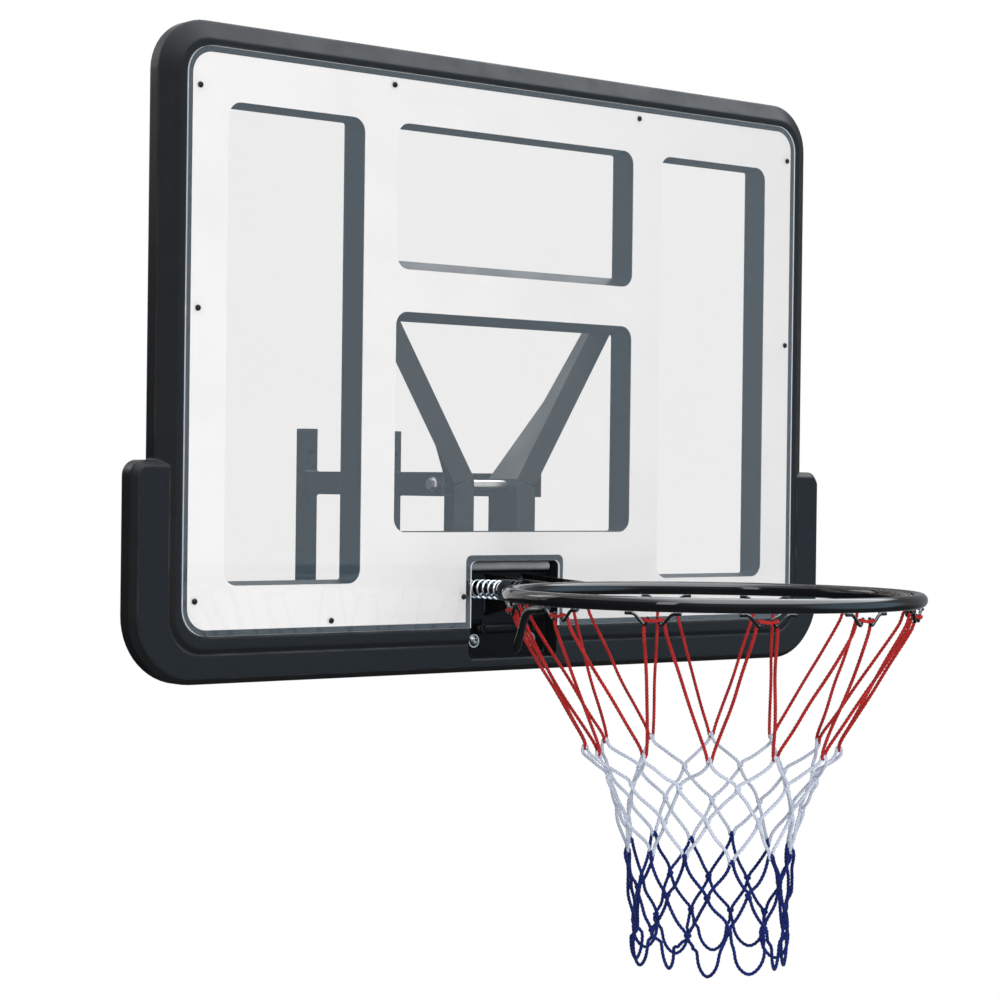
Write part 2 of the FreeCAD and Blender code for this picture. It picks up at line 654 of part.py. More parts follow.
def make_seats(body):
    """Block behind the rim and bosses behind the brace tips, where the bracket sits."""
    block = front_sketch(body, "rear_block", "panel_depth")
    rectangle(block, "-block_width / 2", "block_width / 2", at_rise("block_bottom"),
              at_rise("block_top"))
    pad(body, block, "seat_height", reverse=True)
    bosses = front_sketch(body, "tip_bosses", "panel_depth")
    circles(bosses, both_sides(brace_screw_places()[1:]), "2 * seat_radius")
    pad(body, bosses, "seat_height", reverse=True)


def make_panel():
    body = new_body("panel_solid")
    make_bumper(body)
    make_border(body)
    make_seats(body)
    for window in WINDOWS:
        before = body.Shape.Volume
        front = front_sketch(body, window + "_front", WEB_DEPTH)
        window_outline(front, window, "window_corner")
        back = front_sketch(body, window + "_back", "panel_depth")
        window_outline(back, window, "draft_corner", "window_draft", *WINDOW_DRAFTS[window])
        loft(body, "SubtractiveLoft", front, back)
        if body.Shape.Volume >= before:
            raise RuntimeError(f"{window} cuts nothing")
    hollow = front_sketch(body, "rim_pocket", "0")
    pocket_outline(hollow, "0")
    pocket(body, hollow, "pocket_depth")
    drillings = (("sheet_pilots", mirrored(SHEET_SCREWS), SHEET_HOLE, "0", "sheet_screw_length"),
                 ("rim_bolt_holes", mirrored(RIM_BOLTS), BOLT_HOLE, "0", BRACE_DEPTH))
    for name, places, diameter, depth, length in drillings:
        sketch = front_sketch(body, name, depth)
        circles(sketch, places, diameter)
        pocket(body, sketch, length)
    pilots = front_sketch(body, "brace_pilots", BRACE_DEPTH)
    circles(pilots, both_sides(brace_screw_places()), "brace_screw_diameter")
    pocket(body, pilots, "brace_screw_grip", reverse=True)
    return body


def make_cavity():
    """The air inside the hollow moulding, with solid bosses left round each screw."""
    body = new_body("panel_cavity")
    inset = "(slope_width + panel_wall)"
    space = front_sketch(body, "cavity_outline", "(panel_depth - panel_wall)")
    board_outline(space, "panel_width", "panel_bottom", PANEL_TOP, "panel_corner",
                  "panel_corner", inset)
    length = f"(panel_depth - 2 * panel_wall - {WEB_DEPTH})"
    pad(body, space, length)
    for window in WINDOWS:
        walls = front_sketch(body, window + "_walls", "(panel_depth - panel_wall)")
        window_outline(walls, window, "window_corner", *3 * ["(-panel_wall)"])
        pocket(body, walls, length, reverse=True)
    lining = front_sketch(body, "pocket_lining", "(panel_depth - panel_wall)")
    pocket_outline(lining, "panel_wall")
    pocket(body, lining, length, reverse=True)
    bosses = front_sketch(body, "screw_bosses", "(panel_depth - panel_wall)")
    circles(bosses, mirrored(SHEET_SCREWS) + both_sides(brace_screw_places()), "boss_diameter")
    pocket(body, bosses, length, reverse=True)
    return body


# Clear sheet and printed mask

def notch_outline(sketch, grow):
    half = f"(notch_width / 2 + {grow})"
    rounded_rectangle(sketch, f"-{half}", half, at_rise("(sheet_bottom - notch_height)"),
                      at_rise(f"({NOTCH_TOP} + {grow})"), "notch_corner")


def make_sheet():
    body = new_body("clear_sheet")
    face = front_sketch(body, "sheet_outline", "sheet_thickness")
    board_outline(face, "sheet_width", "sheet_bottom", SHEET_TOP, "sheet_corner", "sheet_corner")
    pad(body, face, "sheet_thickness")
    notch = front_sketch(body, "sheet_notch", "0")
    notch_outline(notch, "0")
    pocket(body, notch, "sheet_thickness")
    holes = front_sketch(body, "sheet_holes", "0")
    circles(holes, mirrored(SHEET_SCREWS), SHEET_HOLE)
    pocket(body, holes, "sheet_thickness")
    keep(body, "clear_sheet")


def make_mask():
    """White film just behind the sheet, open at the windows."""
    body = new_body("white_mask")
    face = front_sketch(body, "mask_outline", WEB_DEPTH)
    board_outline(face, "sheet_width", "sheet_bottom", SHEET_TOP, "sheet_corner", "sheet_corner",
                  "print_margin")
    pad(body, face, "print_thickness")
    notch = front_sketch(body, "mask_notch", PRINT_DEPTH)
    notch_outline(notch, "notch_margin")
    pocket(body, notch, "print_thickness")
    for window in WINDOWS:
        clear = front_sketch(body, window + "_clear", PRINT_DEPTH)
        window_outline(clear, window, "window_corner")
        pocket(body, clear, "print_thickness")
    holes = front_sketch(body, "mask_holes", PRINT_DEPTH)
    circles(holes, mirrored(SHEET_SCREWS), SHEET_HOLE)
    pocket(body, holes, "print_thickness")
    keep(body, "white_mask")


def make_sheet_screws():
    screw = screw_shape("sheet_screw", "sheet_screw_diameter", "sheet_screw_length",
                        "sheet_head_diameter", "sheet_head_height")
    places = [FreeCAD.Placement(point(x, "0", rise), FreeCAD.Rotation())
              for x, rise in mirrored(SHEET_SCREWS)]
    copies("sheet_screws", screw, places)


# Rim base

BASE_HALF = "(notch_width / 2 - base_side_gap)"
HEM_RISE = f"({NOTCH_TOP} - hem_gap - hem_diameter / 2)"
HEM_DEPTH = "(pocket_depth - hem_diameter / 2)"
DOME_RADIUS = "((dome_diameter ^ 2 / 4 + dome_height ^ 2) / (2 * dome_height))"


def make_rim_base():
    """Fixed plate in the pocket: rolled top edge, and two lugs that hold the hinge pin."""
    body = new_body("rim_base")
    face = front_sketch(body, "base_outline", "pocket_depth")
    rounded_rectangle(face, f"-{BASE_HALF}", BASE_HALF, at_rise("base_bottom"), at_rise(HEM_RISE),
                      "base_corner", "base_thickness")
    pad(body, face, "base_thickness")
    hem = new_sketch(body, "base_hem", "YZ_Plane")
    circle(hem, at_depth(HEM_DEPTH), at_rise(HEM_RISE), "hem_diameter")
    pad(body, hem, f"2 * {BASE_HALF}", middle=True)
    for side in (LEFT, RIGHT):
        start = "lug_inner" if side == RIGHT else "-lug_inner - lug_thickness"
        lug = new_sketch(body, f"{side_name(side)}_lug", "YZ_Plane", start)
        rounded_rectangle(lug, at_depth(f"({BASE_FRONT} - lug_reach)"),
                          at_depth("(pocket_depth - base_thickness / 4)"),
                          at_rise("(pivot_rise - lug_height / 2)"),
                          at_rise("(pivot_rise + lug_height / 2)"), "lug_thickness / 2")
        pad(body, lug, "lug_thickness")
    bore = new_sketch(body, "lug_bores", "YZ_Plane")
    circle(bore, at_depth("pivot_depth"), at_rise("pivot_rise"), "pin_diameter + 2 * pin_clearance")
    pocket(body, bore, "2 * (lug_inner + lug_thickness)", middle=True)
    holes = front_sketch(body, "base_holes", "0")
    circles(holes, mirrored(RIM_BOLTS), BOLT_HOLE)
    pocket(body, holes, "pocket_depth")
    keep(body, "rim_base")


def make_hinge_pin():
    """Pin across the lugs, with a clip outside each."""
    reach = "(lug_inner + lug_thickness)"
    length = f"2 * ({reach} + clip_gap + clip_thickness + pin_end)"
    pin = turn(cylinder("hinge_pin", "pin_diameter", length), ALONG_Y, 90)
    move(pin, x=f"-({length}) / 2", y=at_depth("pivot_depth"), z=at_rise("pivot_rise"))
    keep(pin, "hinge_pin")
    clips = []
    for side in (LEFT, RIGHT):
        start = f"({reach} + clip_gap)" if side == RIGHT else f"-({reach} + clip_gap + clip_thickness)"
        name = f"{side_name(side)}_clip"
        outer = cylinder(name + "_outer", "pin_diameter + 2 * clip_width", "clip_thickness")
        inner = cylinder(name + "_inner", "pin_diameter", "clip_thickness")
        for piece in (outer, inner):
            turn(piece, ALONG_Y, 90)
            move(piece, x=start, y=at_depth("pivot_depth"), z=at_rise("pivot_rise"))
        clips.append(cut(name, outer, inner))
    joined = doc.addObject("Part::Compound", "pin_clips")
    joined.Links = clips
    keep(joined, "pin_clips")


def make_base_screws():
    """Bright flanged button head screws low on the base, and their nuts behind the braces."""
    length = f"{LEAF_BACK} - {BASE_FRONT} + nut_height + thread_end"
    shank = turn(cylinder("button_shank", "bolt_diameter", length), ALONG_X, -90)
    flange = turn(cylinder("button_flange_disc", "button_diameter", "button_flange"), ALONG_X, 90)
    dome = doc.addObject("Part::Sphere", "button_dome")
    set_sizes(dome, Radius=DOME_RADIUS, Angle1=f"asin(1 - dome_height / {DOME_RADIUS})")
    turn(dome, ALONG_X, 90)
    move(dome, y=f"{DOME_RADIUS} - dome_height - button_flange")
    socket = turn(hexagon("button_socket", "socket_across", "socket_depth"), ALONG_X, 90)
    move(socket, y="socket_depth - dome_height - button_flange")
    screw = cut("button_screw", fuse("button_blank", shank, fuse("button_head", flange, dome)), socket)
    places = [FreeCAD.Placement(point(x, BASE_FRONT, rise), FreeCAD.Rotation())
              for x, rise in mirrored(RIM_BOLTS[:1])]
    copies("base_screws", screw, places)
    copies("base_screw_nuts", nut_shape("base_screw_nut", "nut_height"),
           [FreeCAD.Placement(point(x, LEAF_BACK, rise), FreeCAD.Rotation())
            for x, rise in mirrored(RIM_BOLTS[:1])])


def nut_shape(name, height):
    """Hex nut along +Y, its first face at the origin."""
    block = turn(hexagon(name + "_hex", "hex_across", height), ALONG_X, -90)
    thread = turn(cylinder(name + "_thread", "bolt_diameter", height), ALONG_X, -90)
    return cut(name, block, thread)


def make_spring_bolts():
    """Long bolts from behind the braces; their nuts and washers hold the springs' front ends."""
    tail = f"({LEAF_BACK} - {SPRING_END} + washer_thickness + nut_height + thread_end)"
    shank = turn(cylinder("spring_bolt_shank", "bolt_diameter", tail), ALONG_X, 90)
    head = turn(hexagon("spring_bolt_hex", "hex_across", "head_height"), ALONG_X, -90)
    bolt = fuse("spring_bolt", shank, head)
    seats = mirrored(RIM_BOLTS[1:])
    copies("spring_bolts", bolt, [FreeCAD.Placement(point(x, LEAF_BACK, rise), FreeCAD.Rotation())
                                  for x, rise in seats])
    disc = turn(cylinder("spring_washer_disc", "seat_washer_diameter", "washer_thickness"), ALONG_X, 90)
    bore = turn(cylinder("spring_washer_bore", BOLT_HOLE, "washer_thickness"), ALONG_X, 90)
    copies("spring_washers", cut("spring_washer", disc, bore),
           [FreeCAD.Placement(point(x, SPRING_END, rise), FreeCAD.Rotation()) for x, rise in seats])
    nut_depth = f"({SPRING_END} - washer_thickness - nut_height)"
    copies("spring_nuts", nut_shape("spring_nut", "nut_height"),
           [FreeCAD.Placement(point(x, nut_depth, rise), FreeCAD.Rotation()) for x, rise in seats])


# Springs

def biarc(start, start_way, end, end_way):
    """Two arcs that leave start and reach end along the given unit directions."""
    chord = end - start
    both = start_way + end_way
    spread = 2 * (1 - start_way.dot(end_way))
    along = chord.dot(both)
    reach = (math.sqrt(along ** 2 + spread * chord.dot(chord)) - along) / spread
    first, last = start + start_way * reach, end - end_way * reach
    middle = (first + last) * 0.5
    return [tangent_arc(start, first, middle), tangent_arc(middle, last, end)]


def tangent_arc(start, apex, end):
    """Arc from start to end whose end tangents meet at the apex."""
    centre_chord = (start + end) * 0.5
    half = (end - start).Length / 2
    rise = (apex - centre_chord).Length
    sagitta = half * ((apex - start).Length - half) / rise
    top = centre_chord + (apex - centre_chord) * (sagitta / rise)
    return Part.Arc(start, top, end)


def spring_path():
    """Centre line along +Y from the carrier's face: a straight foot, the turns, a straight foot."""
    wire = value("wire_diameter")
    radius = (value("spring_diameter") - wire) / 2
    length, turns = value("spring_length"), value("spring_turns")
    lead = wire * 2
    coil_start, coil_end = wire + lead, length - wire - lead
    pitch = (coil_end - coil_start) / turns

    def on_coil(turn_count):
        angle = 2 * math.pi * turn_count
        place = FreeCAD.Vector(radius * math.cos(angle), coil_start + pitch * turn_count,
                               radius * math.sin(angle))
        way = FreeCAD.Vector(-radius * math.sin(angle), pitch / (2 * math.pi),
                             radius * math.cos(angle))
        return place, way.normalize()

    quarter = 0.25
    angle = 2 * math.pi * quarter
    foot = FreeCAD.Vector(radius * math.cos(-angle), 0, radius * math.sin(-angle))
    final = angle + 2 * math.pi * turns
    head = FreeCAD.Vector(radius * math.cos(final), length, radius * math.sin(final))
    curves = [Part.LineSegment(foot, foot + ALONG_Y * wire)]
    curves += biarc(foot + ALONG_Y * wire, ALONG_Y, *on_coil(0))
    for step in range(int(turns / quarter)):
        curves += biarc(*on_coil(step * quarter), *on_coil((step + 1) * quarter))
    curves += biarc(*on_coil(turns), head - ALONG_Y * wire, ALONG_Y)
    curves.append(Part.LineSegment(head - ALONG_Y * wire, head))
    return Part.Wire([curve.toShape() for curve in curves])


def least_self_gap(path, thickness):
    """Least clear space between stretches of the tube that lie a half turn or more apart."""
    spots = path.discretize(Number=400)
    step = path.Length / (len(spots) - 1)
    radius = (value("spring_diameter") - thickness) / 2
    apart = int(math.pi * radius / step)
    return min((a - b).Length for i, a in enumerate(spots) for b in spots[i + apart:]) - thickness


def make_springs():
    wire = value("wire_diameter")
    path = spring_path()
    start = path.Vertexes[0].Point
    section = Part.Wire([Part.makeCircle(wire / 2, start, ALONG_Y)])
    coil = path.makePipeShell([section], True, False)
    print(f"spring: least gap to itself {least_self_gap(path, wire):.2f} mm, volume ratio "
          f"{coil.Volume / (path.Length * math.pi * wire ** 2 / 4):.4f}")
    for side in (LEFT, RIGHT):
        shape = coil.copy()
        seat = point("rim_bolt_spacing / 2", SPRING_END, "spring_rise")
        shape.Placement = FreeCAD.Placement(seat, FreeCAD.Rotation())
        if side == LEFT:
            shape = shape.mirror(FreeCAD.Vector(), ALONG_X)
        name = f"{side_name(side)}_spring"
        keep(shaped(name, shape), name)


# Rim

def make_carrier():
    """Moving plate in front of the base: a knuckle round the pin and slots for the spring bolts."""
    body = new_body("rim_carrier")
    face = front_sketch(body, "carrier_outline", CARRIER_BACK)
    rounded_rectangle(face, "-carrier_width / 2", "carrier_width / 2", at_rise("carrier_bottom"),
                      at_rise("carrier_top"), "carrier_thickness")
    pad(body, face, "carrier_thickness")
    knuckle_half = "(lug_inner - knuckle_gap)"
    knuckle_back = "(pivot_depth + knuckle_diameter / 2)"
    tongue = front_sketch(body, "carrier_tongue", knuckle_back)
    rectangle(tongue, f"-{knuckle_half}", knuckle_half, at_rise("pivot_rise"),
              at_rise("(carrier_bottom + carrier_thickness)"))
    pad(body, tongue, f"{knuckle_back} - {CARRIER_FRONT}")
    knuckle = new_sketch(body, "carrier_knuckle", "YZ_Plane")
    circle(knuckle, at_depth("pivot_depth"), at_rise("pivot_rise"), "knuckle_diameter")
    pad(body, knuckle, f"2 * {knuckle_half}", middle=True)
    bore = new_sketch(body, "knuckle_bore", "YZ_Plane")
    circle(bore, at_depth("pivot_depth"), at_rise("pivot_rise"), "pin_diameter + 2 * pin_clearance")
    pocket(body, bore, f"2 * {knuckle_half}", middle=True)
    slots = front_sketch(body, "bolt_slots", CARRIER_FRONT)
    for side in (LEFT, RIGHT):
        middle = f"({side} * rim_bolt_spacing / 2)"
        rounded_rectangle(slots, f"{middle} - slot_width / 2", f"{middle} + slot_width / 2",
                          at_rise("(spring_rise - slot_below)"), at_rise("(spring_rise + slot_above)"),
                          "slot_width / 2.2")
    pocket(body, slots, "carrier_thickness")
    keep(body, "rim_carrier")


def make_ring():
    ring = doc.addObject("Part::Torus", "rim_ring")
    set_sizes(ring, Radius1=RING_RADIUS, Radius2="ring_bar / 2")
    move(ring, y=at_depth("-ring_reach"), z=at_rise("ring_rise"))
    return keep(ring, "rim_ring")


def make_neck(ring):
    """Two gussets and the plate between them, cut to seat on the ring's bar."""
    doc.recompute()
    tip = f"({RING_RADIUS} - ring_reach)"
    profile = [(CARRIER_FRONT, "gusset_low"), (CARRIER_FRONT, "gusset_high"),
               (tip, "gusset_tip_high"), (tip, "gusset_tip_low")]
    thickness = value("gusset_thickness")
    for side in (LEFT, RIGHT):
        start = "gusset_inner" if side == RIGHT else "(-gusset_inner - gusset_thickness)"
        blank = plate([point(start, depth, rise) for depth, rise in profile], ALONG_X * thickness)
        name = f"{side_name(side)}_gusset"
        keep(shaped(name, blank.cut(ring.Shape)), name)
    low = "(ring_rise - neck_thickness / 2)"
    corner = point("-gusset_inner", tip, low)
    blank = Part.makeBox(value("2 * gusset_inner"), value(f"{CARRIER_FRONT} - {tip}"),
                         value("neck_thickness"), corner)
    keep(shaped("neck_plate", blank.cut(ring.Shape)), "neck_plate")


def ring_place(angle):
    """A frame on the ring's centre line: X along the bar, Y outward from the ring, Z up."""
    centre = point("0", "-ring_reach", "ring_rise")
    turned = FreeCAD.Rotation(ALONG_Z, angle)
    outward = turned.multVec(ALONG_Y)
    return FreeCAD.Placement(centre + outward * value(RING_RADIUS), turned)


def hook_shape():
    """One bent wire: a foot under the bar, a slanting drop and an upturned tip."""
    wire = value("hook_wire")
    spread, drop = value("hook_spread"), value("hook_drop")
    under = -value("ring_bar") / 2 - wire / 2
    low = under - drop + wire
    inner = value("hook_gap") / 2
    places = [(spread + value("hook_foot"), under), (spread, under), (inner, low),
              (inner - wire, low + value("hook_tip"))]
    corners = [FreeCAD.Vector(x, 0, z) for x, z in places]
    bend = wire * 0.9
    curves = []
    start = corners[0]
    for before, corner, after in zip(corners, corners[1:], corners[2:]):
        inward = (before - corner).normalize() * bend
        outward = (after - corner).normalize() * bend
        curves.append(Part.LineSegment(start, corner + inward))
        curves.append(tangent_arc(corner + inward, corner, corner + outward))
        start = corner + outward
    curves.append(Part.LineSegment(start, corners[-1]))
    path = Part.Wire([curve.toShape() for curve in curves])
    section = Part.Wire([Part.makeCircle(wire / 2, corners[0], ALONG_X)])
    return path.makePipeShell([section], True, False)


def make_hooks(ring):
    """A pair of hooks faces each other at every net loop."""
    right_hook = hook_shape()
    pair = [right_hook, right_hook.mirror(FreeCAD.Vector(), ALONG_X)]
    shapes = []
    for index in range(NET_LOOPS):
        for hook in pair:
            placed = hook.copy()
            placed.Placement = ring_place(index * 360 / NET_LOOPS).multiply(placed.Placement)
            shapes.append(placed.cut(ring.Shape))
    keep(shaped("net_hooks", Part.makeCompound(shapes)), "net_hooks")


# Net

NET_ROWS = ["net_top", "row_one", "row_two", "row_three", "row_four", "row_five", "row_six",
            "net_bottom"]


def row_drop(name):
    """How far a row of knots hangs below the ring's plane; the top lies just under the hooks."""
    if name == "net_top":
        return value("net_hang_gap") - hook_shape().optimalBoundingBox().ZMin
    return value(f"{name}_drop")


def net_shell(first, last):
    """Thin shell of revolution through the rows from first to last."""
    names = NET_ROWS[NET_ROWS.index(first):NET_ROWS.index(last) + 1]
    half = value("cord_thickness") / 2
    rows = [(value(f"{name}_radius"), -row_drop(name)) for name in names]
    outline_points = [(radius + half, z) for radius, z in rows]
    outline_points += [(radius - half, z) for radius, z in reversed(rows)]
    corners = [FreeCAD.Vector(radius, 0, z) for radius, z in outline_points]
    face = Part.Face(Part.makePolygon(corners + corners[:1]))
    return face.revolve(FreeCAD.Vector(), ALONG_Z, 360)


def net_gaps():
    """Radial prisms for every gap: between hooks, the kites under them, the diamonds, the hem."""
    half_step = math.radians(180 / NET_LOOPS)
    cord = value("cord_width") / 2
    drop = {name: row_drop(name) for name in NET_ROWS}
    reach = {name: value(f"{name}_radius") * math.sin(half_step) - 2 * cord for name in NET_ROWS}
    knot = 2 * cord
    beyond = 3 * cord
    hook_half = value("hook_gap") / 2 + cord
    over, under = drop["net_top"] - beyond, drop["net_bottom"] + beyond
    open_top = value("net_top_radius") * math.sin(half_step) - hook_half - 2 * cord
    between_hooks = [(-open_top, over), (open_top, over), (0, drop["row_one"] - knot)]
    below_hooks = [(-cord, drop["net_top"] + knot), (cord, drop["net_top"] + knot),
                   (reach["row_one"], drop["row_one"]), (0, drop["row_two"] - knot),
                   (-reach["row_one"], drop["row_one"])]
    shapes = [(1, between_hooks), (0, below_hooks)]
    for index in range(2, len(NET_ROWS) - 1):
        before, middle, after = NET_ROWS[index - 1:index + 2]
        shapes.append(((index + 1) % 2, [(0, drop[before] + knot), (reach[middle], drop[middle]),
                                         (0, drop[after] - knot), (-reach[middle], drop[middle])]))
    hem = reach["net_bottom"]
    shapes.append((0, [(0, drop["row_six"] + knot), (hem, under), (-hem, under)]))

    outside = value("net_top_radius") + beyond
    inside = value("net_bottom_radius") / 2
    prisms = []
    for index in range(NET_LOOPS):
        for half_turns, corners in shapes:
            turned = FreeCAD.Rotation(ALONG_Z, (index + half_turns / 2) * 360 / NET_LOOPS)
            spots = [turned.multVec(FreeCAD.Vector(x, outside, -z)) for x, z in corners]
            inward = turned.multVec(ALONG_Y) * (inside - outside)
            prisms.append(plate(spots, inward))
    return prisms


def make_net():
    """Limp cord net in three colours, each a holed shell that hangs from the hooks."""
    prisms = net_gaps()
    hang = FreeCAD.Placement(point("0", "-ring_reach", "ring_rise"), FreeCAD.Rotation())
    for label, first, last in (("net_red", "net_top", "row_one"), ("net_white", "row_one", "row_four"),
                               ("net_blue", "row_four", "net_bottom")):
        net = shaped(label, net_shell(first, last).cut(prisms))
        net.Placement = hang
        keep(net, label)


for side in (LEFT, RIGHT):
    make_upright(side)
make_caps()
for side in (LEFT, RIGHT):
    for level in (1, -1):
        make_arm(side, level)
for level in (1, -1):
    make_through_bolt(level)
    make_sleeve(level)
make_bolt_hardware()
for side in (LEFT, RIGHT):
    make_brace(side)
make_brace_screws()
keep(cut("frame_panel_cut", make_panel(), make_cavity()), "frame_panel")
make_sheet()
make_mask()
make_sheet_screws()
make_rim_base()
make_hinge_pin()
make_base_screws()
make_spring_bolts()
make_springs()
make_carrier()
rim_ring = make_ring()
make_neck(rim_ring)
make_hooks(rim_ring)
make_net()

doc.recompute()
for item in doc.Objects:
    if "Invalid" in item.State or "Error" in item.State:
        raise RuntimeError(f"{item.Label} failed to build")
for item in sub_parts:
    if item.Shape.isNull() or not item.Shape.isValid() or not item.Shape.Solids:
        raise RuntimeError(f"{item.Label} has no valid solid")

os.makedirs("parts", exist_ok=True)
for item in sub_parts:
    item.Shape.exportStep(f"parts/{item.Label}.step")
    print(f"{item.Label}: {len(item.Shape.Solids)} solid(s), {item.Shape.Volume / 1000:.1f} cm3")
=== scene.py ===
# %% [markdown]
# # A wall basketball backboard
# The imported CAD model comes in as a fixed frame: a moulded panel, a clear sheet with a white
# mask behind it, a sprung rim and the steel bracket that holds them to a wall. Each step below
# gives CAD pieces a finish, or builds what solid modelling leaves plain: net cord, wound springs,
# weld seams, screw recesses, threads and one bent hook.

# %% Load the frame
import json
import random
from math import atan2, cos, hypot, pi, radians, sin, sqrt

import bmesh
import bpy
from mathutils import Matrix, Vector
from numpy import interp


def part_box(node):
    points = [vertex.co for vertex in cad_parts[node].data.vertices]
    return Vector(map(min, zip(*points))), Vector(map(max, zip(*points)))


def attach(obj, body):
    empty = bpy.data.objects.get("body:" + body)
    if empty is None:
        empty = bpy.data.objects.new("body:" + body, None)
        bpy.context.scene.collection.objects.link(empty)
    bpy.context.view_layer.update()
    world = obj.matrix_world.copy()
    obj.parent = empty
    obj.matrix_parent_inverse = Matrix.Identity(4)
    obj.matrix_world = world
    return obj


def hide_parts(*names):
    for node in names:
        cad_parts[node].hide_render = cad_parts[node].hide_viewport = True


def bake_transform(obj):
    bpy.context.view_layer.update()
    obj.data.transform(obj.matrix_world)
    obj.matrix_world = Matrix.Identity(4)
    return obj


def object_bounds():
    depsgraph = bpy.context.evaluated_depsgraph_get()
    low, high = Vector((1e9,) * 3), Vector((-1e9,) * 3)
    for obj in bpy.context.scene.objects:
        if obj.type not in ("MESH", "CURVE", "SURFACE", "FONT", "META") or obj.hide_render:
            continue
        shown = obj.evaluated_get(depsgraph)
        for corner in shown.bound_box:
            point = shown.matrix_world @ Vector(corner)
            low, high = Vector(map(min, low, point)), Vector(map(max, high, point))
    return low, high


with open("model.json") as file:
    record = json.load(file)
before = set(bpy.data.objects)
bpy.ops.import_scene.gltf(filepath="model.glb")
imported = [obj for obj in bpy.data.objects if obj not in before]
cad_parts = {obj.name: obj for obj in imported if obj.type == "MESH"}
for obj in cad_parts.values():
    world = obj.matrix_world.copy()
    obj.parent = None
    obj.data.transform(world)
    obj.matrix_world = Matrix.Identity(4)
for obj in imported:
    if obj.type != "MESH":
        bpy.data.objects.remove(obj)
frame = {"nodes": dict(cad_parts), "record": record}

cad_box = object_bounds()
scene = bpy.context.scene
scene.view_settings.view_transform = "Standard"
MM = 0.001
print("CAD box:", [tuple(round(side, 3) for side in corner) for corner in cad_box])

# %% [markdown]
# ## Camera
# The board is seen from its left, at the height of the rim, through a long lens. A camera could
# track an empty, but a constraint leaves no place for the slight lean of a camera held by hand,
# so its turn, dip and lean are three rotations, multiplied into its matrix.

# %% Camera
CAMERA_PLACE = Vector((-2.012, -2.7765, 0.0771))
CAMERA_TURN = radians(39.47)
CAMERA_DIP = radians(0.29)
CAMERA_LEAN = radians(0.71)
LENS_MM = 90.8
SENSOR_MM = 36

lens = bpy.data.cameras.new("camera")
lens.lens = LENS_MM
lens.sensor_width = SENSOR_MM
camera = bpy.data.objects.new("camera", lens)
scene.collection.objects.link(camera)
camera.matrix_world = (Matrix.Translation(CAMERA_PLACE) @ Matrix.Rotation(-CAMERA_TURN, 4, "Z")
                       @ Matrix.Rotation(pi / 2 - CAMERA_DIP, 4, "X")
                       @ Matrix.Rotation(CAMERA_LEAN, 4, "Z"))
scene.camera = camera
print("Camera at", tuple(round(side, 3) for side in camera.location))

# %% [markdown]
# ## Node helper
# Node trees get long when every node and link is written by hand. One small function places a
# node, sets its options, and fills each socket with a number or a link. The others are shortcuts
# for the nodes that turn up most.


# %% Node helper
def place(tree, kind, sockets=None, **options):
    """A new ShaderNode of a kind, with its options set and its sockets filled by values or links."""
    node = tree.nodes.new("ShaderNode" + kind)
    for name, option in options.items():
        setattr(node, name, option)
    for name, filling in (sockets or {}).items():
        if isinstance(filling, bpy.types.NodeSocket):
            tree.links.new(filling, node.inputs[name])
        else:
            node.inputs[name].default_value = filling
    return node


def calculate(tree, operation, first, second=0.0, clamp=False):
    """The result of a Math node."""
    node = place(tree, "Math", {0: first, 1: second}, operation=operation, use_clamp=clamp)
    return node.outputs[0]


def times(tree, first, second):
    return calculate(tree, "MULTIPLY", first, second)


def spread(tree, source, low, high, start=0.0, end=1.0):
    """A value moved smoothly from start..end to low..high."""
    sockets = {"Value": source, "From Min": start, "From Max": end, "To Min": low, "To Max": high}
    return place(tree, "MapRange", sockets, interpolation_type="SMOOTHSTEP").outputs["Result"]


def vector_part(tree, vector, axis):
    """One of a vector's three numbers; the axis is X, Y or Z."""
    return place(tree, "SeparateXYZ", {0: vector}).outputs[axis]


def share_along(tree, direction, way):
    """How far a direction goes along a way, from -1 to 1."""
    return place(tree, "VectorMath", {0: direction, 1: way}, operation="DOT_PRODUCT").outputs["Value"]


def mix(tree, share, first, second):
    """A node that mixes the shaders of two nodes."""
    return place(tree, "MixShader", {0: share, 1: first.outputs[0], 2: second.outputs[0]})


print("Node helpers ready")

# %% [markdown]
# ## Studio
# The product hangs in a white studio, with soft light mostly from the front and a dim room behind
# the camera. The world could be one even white, but every black surface would mirror it and turn
# grey. So rays that go straight to the backdrop, or through the clear sheet, find white; mirrored
# rays find the dim room, a ceiling that is bright above and at the right, and one cool screen
# where the clear sheet mirrors it; and the rest find soft fill. The edges below say where one of
# these fades into the next.

# %% Studio world
PURE_WHITE = (1, 1, 1, 1)
FILL_COLOUR = (0.98, 0.99, 1.0, 1)
FILL_STRENGTH = 0.50
SCREEN_WAY = (sin(CAMERA_TURN), -cos(CAMERA_TURN), 0)
SCREEN_COLOUR = (0.56, 0.80, 1.0, 1)
SCREEN_STRENGTH = 1.5
SCREEN_EDGE = (0.72, 0.95)
ROOM_COLOUR = (0.92, 0.96, 1.0, 1)
ROOM_STRENGTH = 0.30
ROOM_LOW = 0.2
LOW_EDGE = (-0.4, -0.05)
ROOM_CEILING = 20.0
CEILING_EDGE = (0.48, 0.62)
ROOM_RIGHT = (cos(CAMERA_TURN), -sin(CAMERA_TURN), 0)
ROOM_LEFT = 0.2
LEFT_EDGE = (-0.5, -0.1)


def background(tree, colour, strength):
    return place(tree, "Background", {"Color": colour, "Strength": strength})


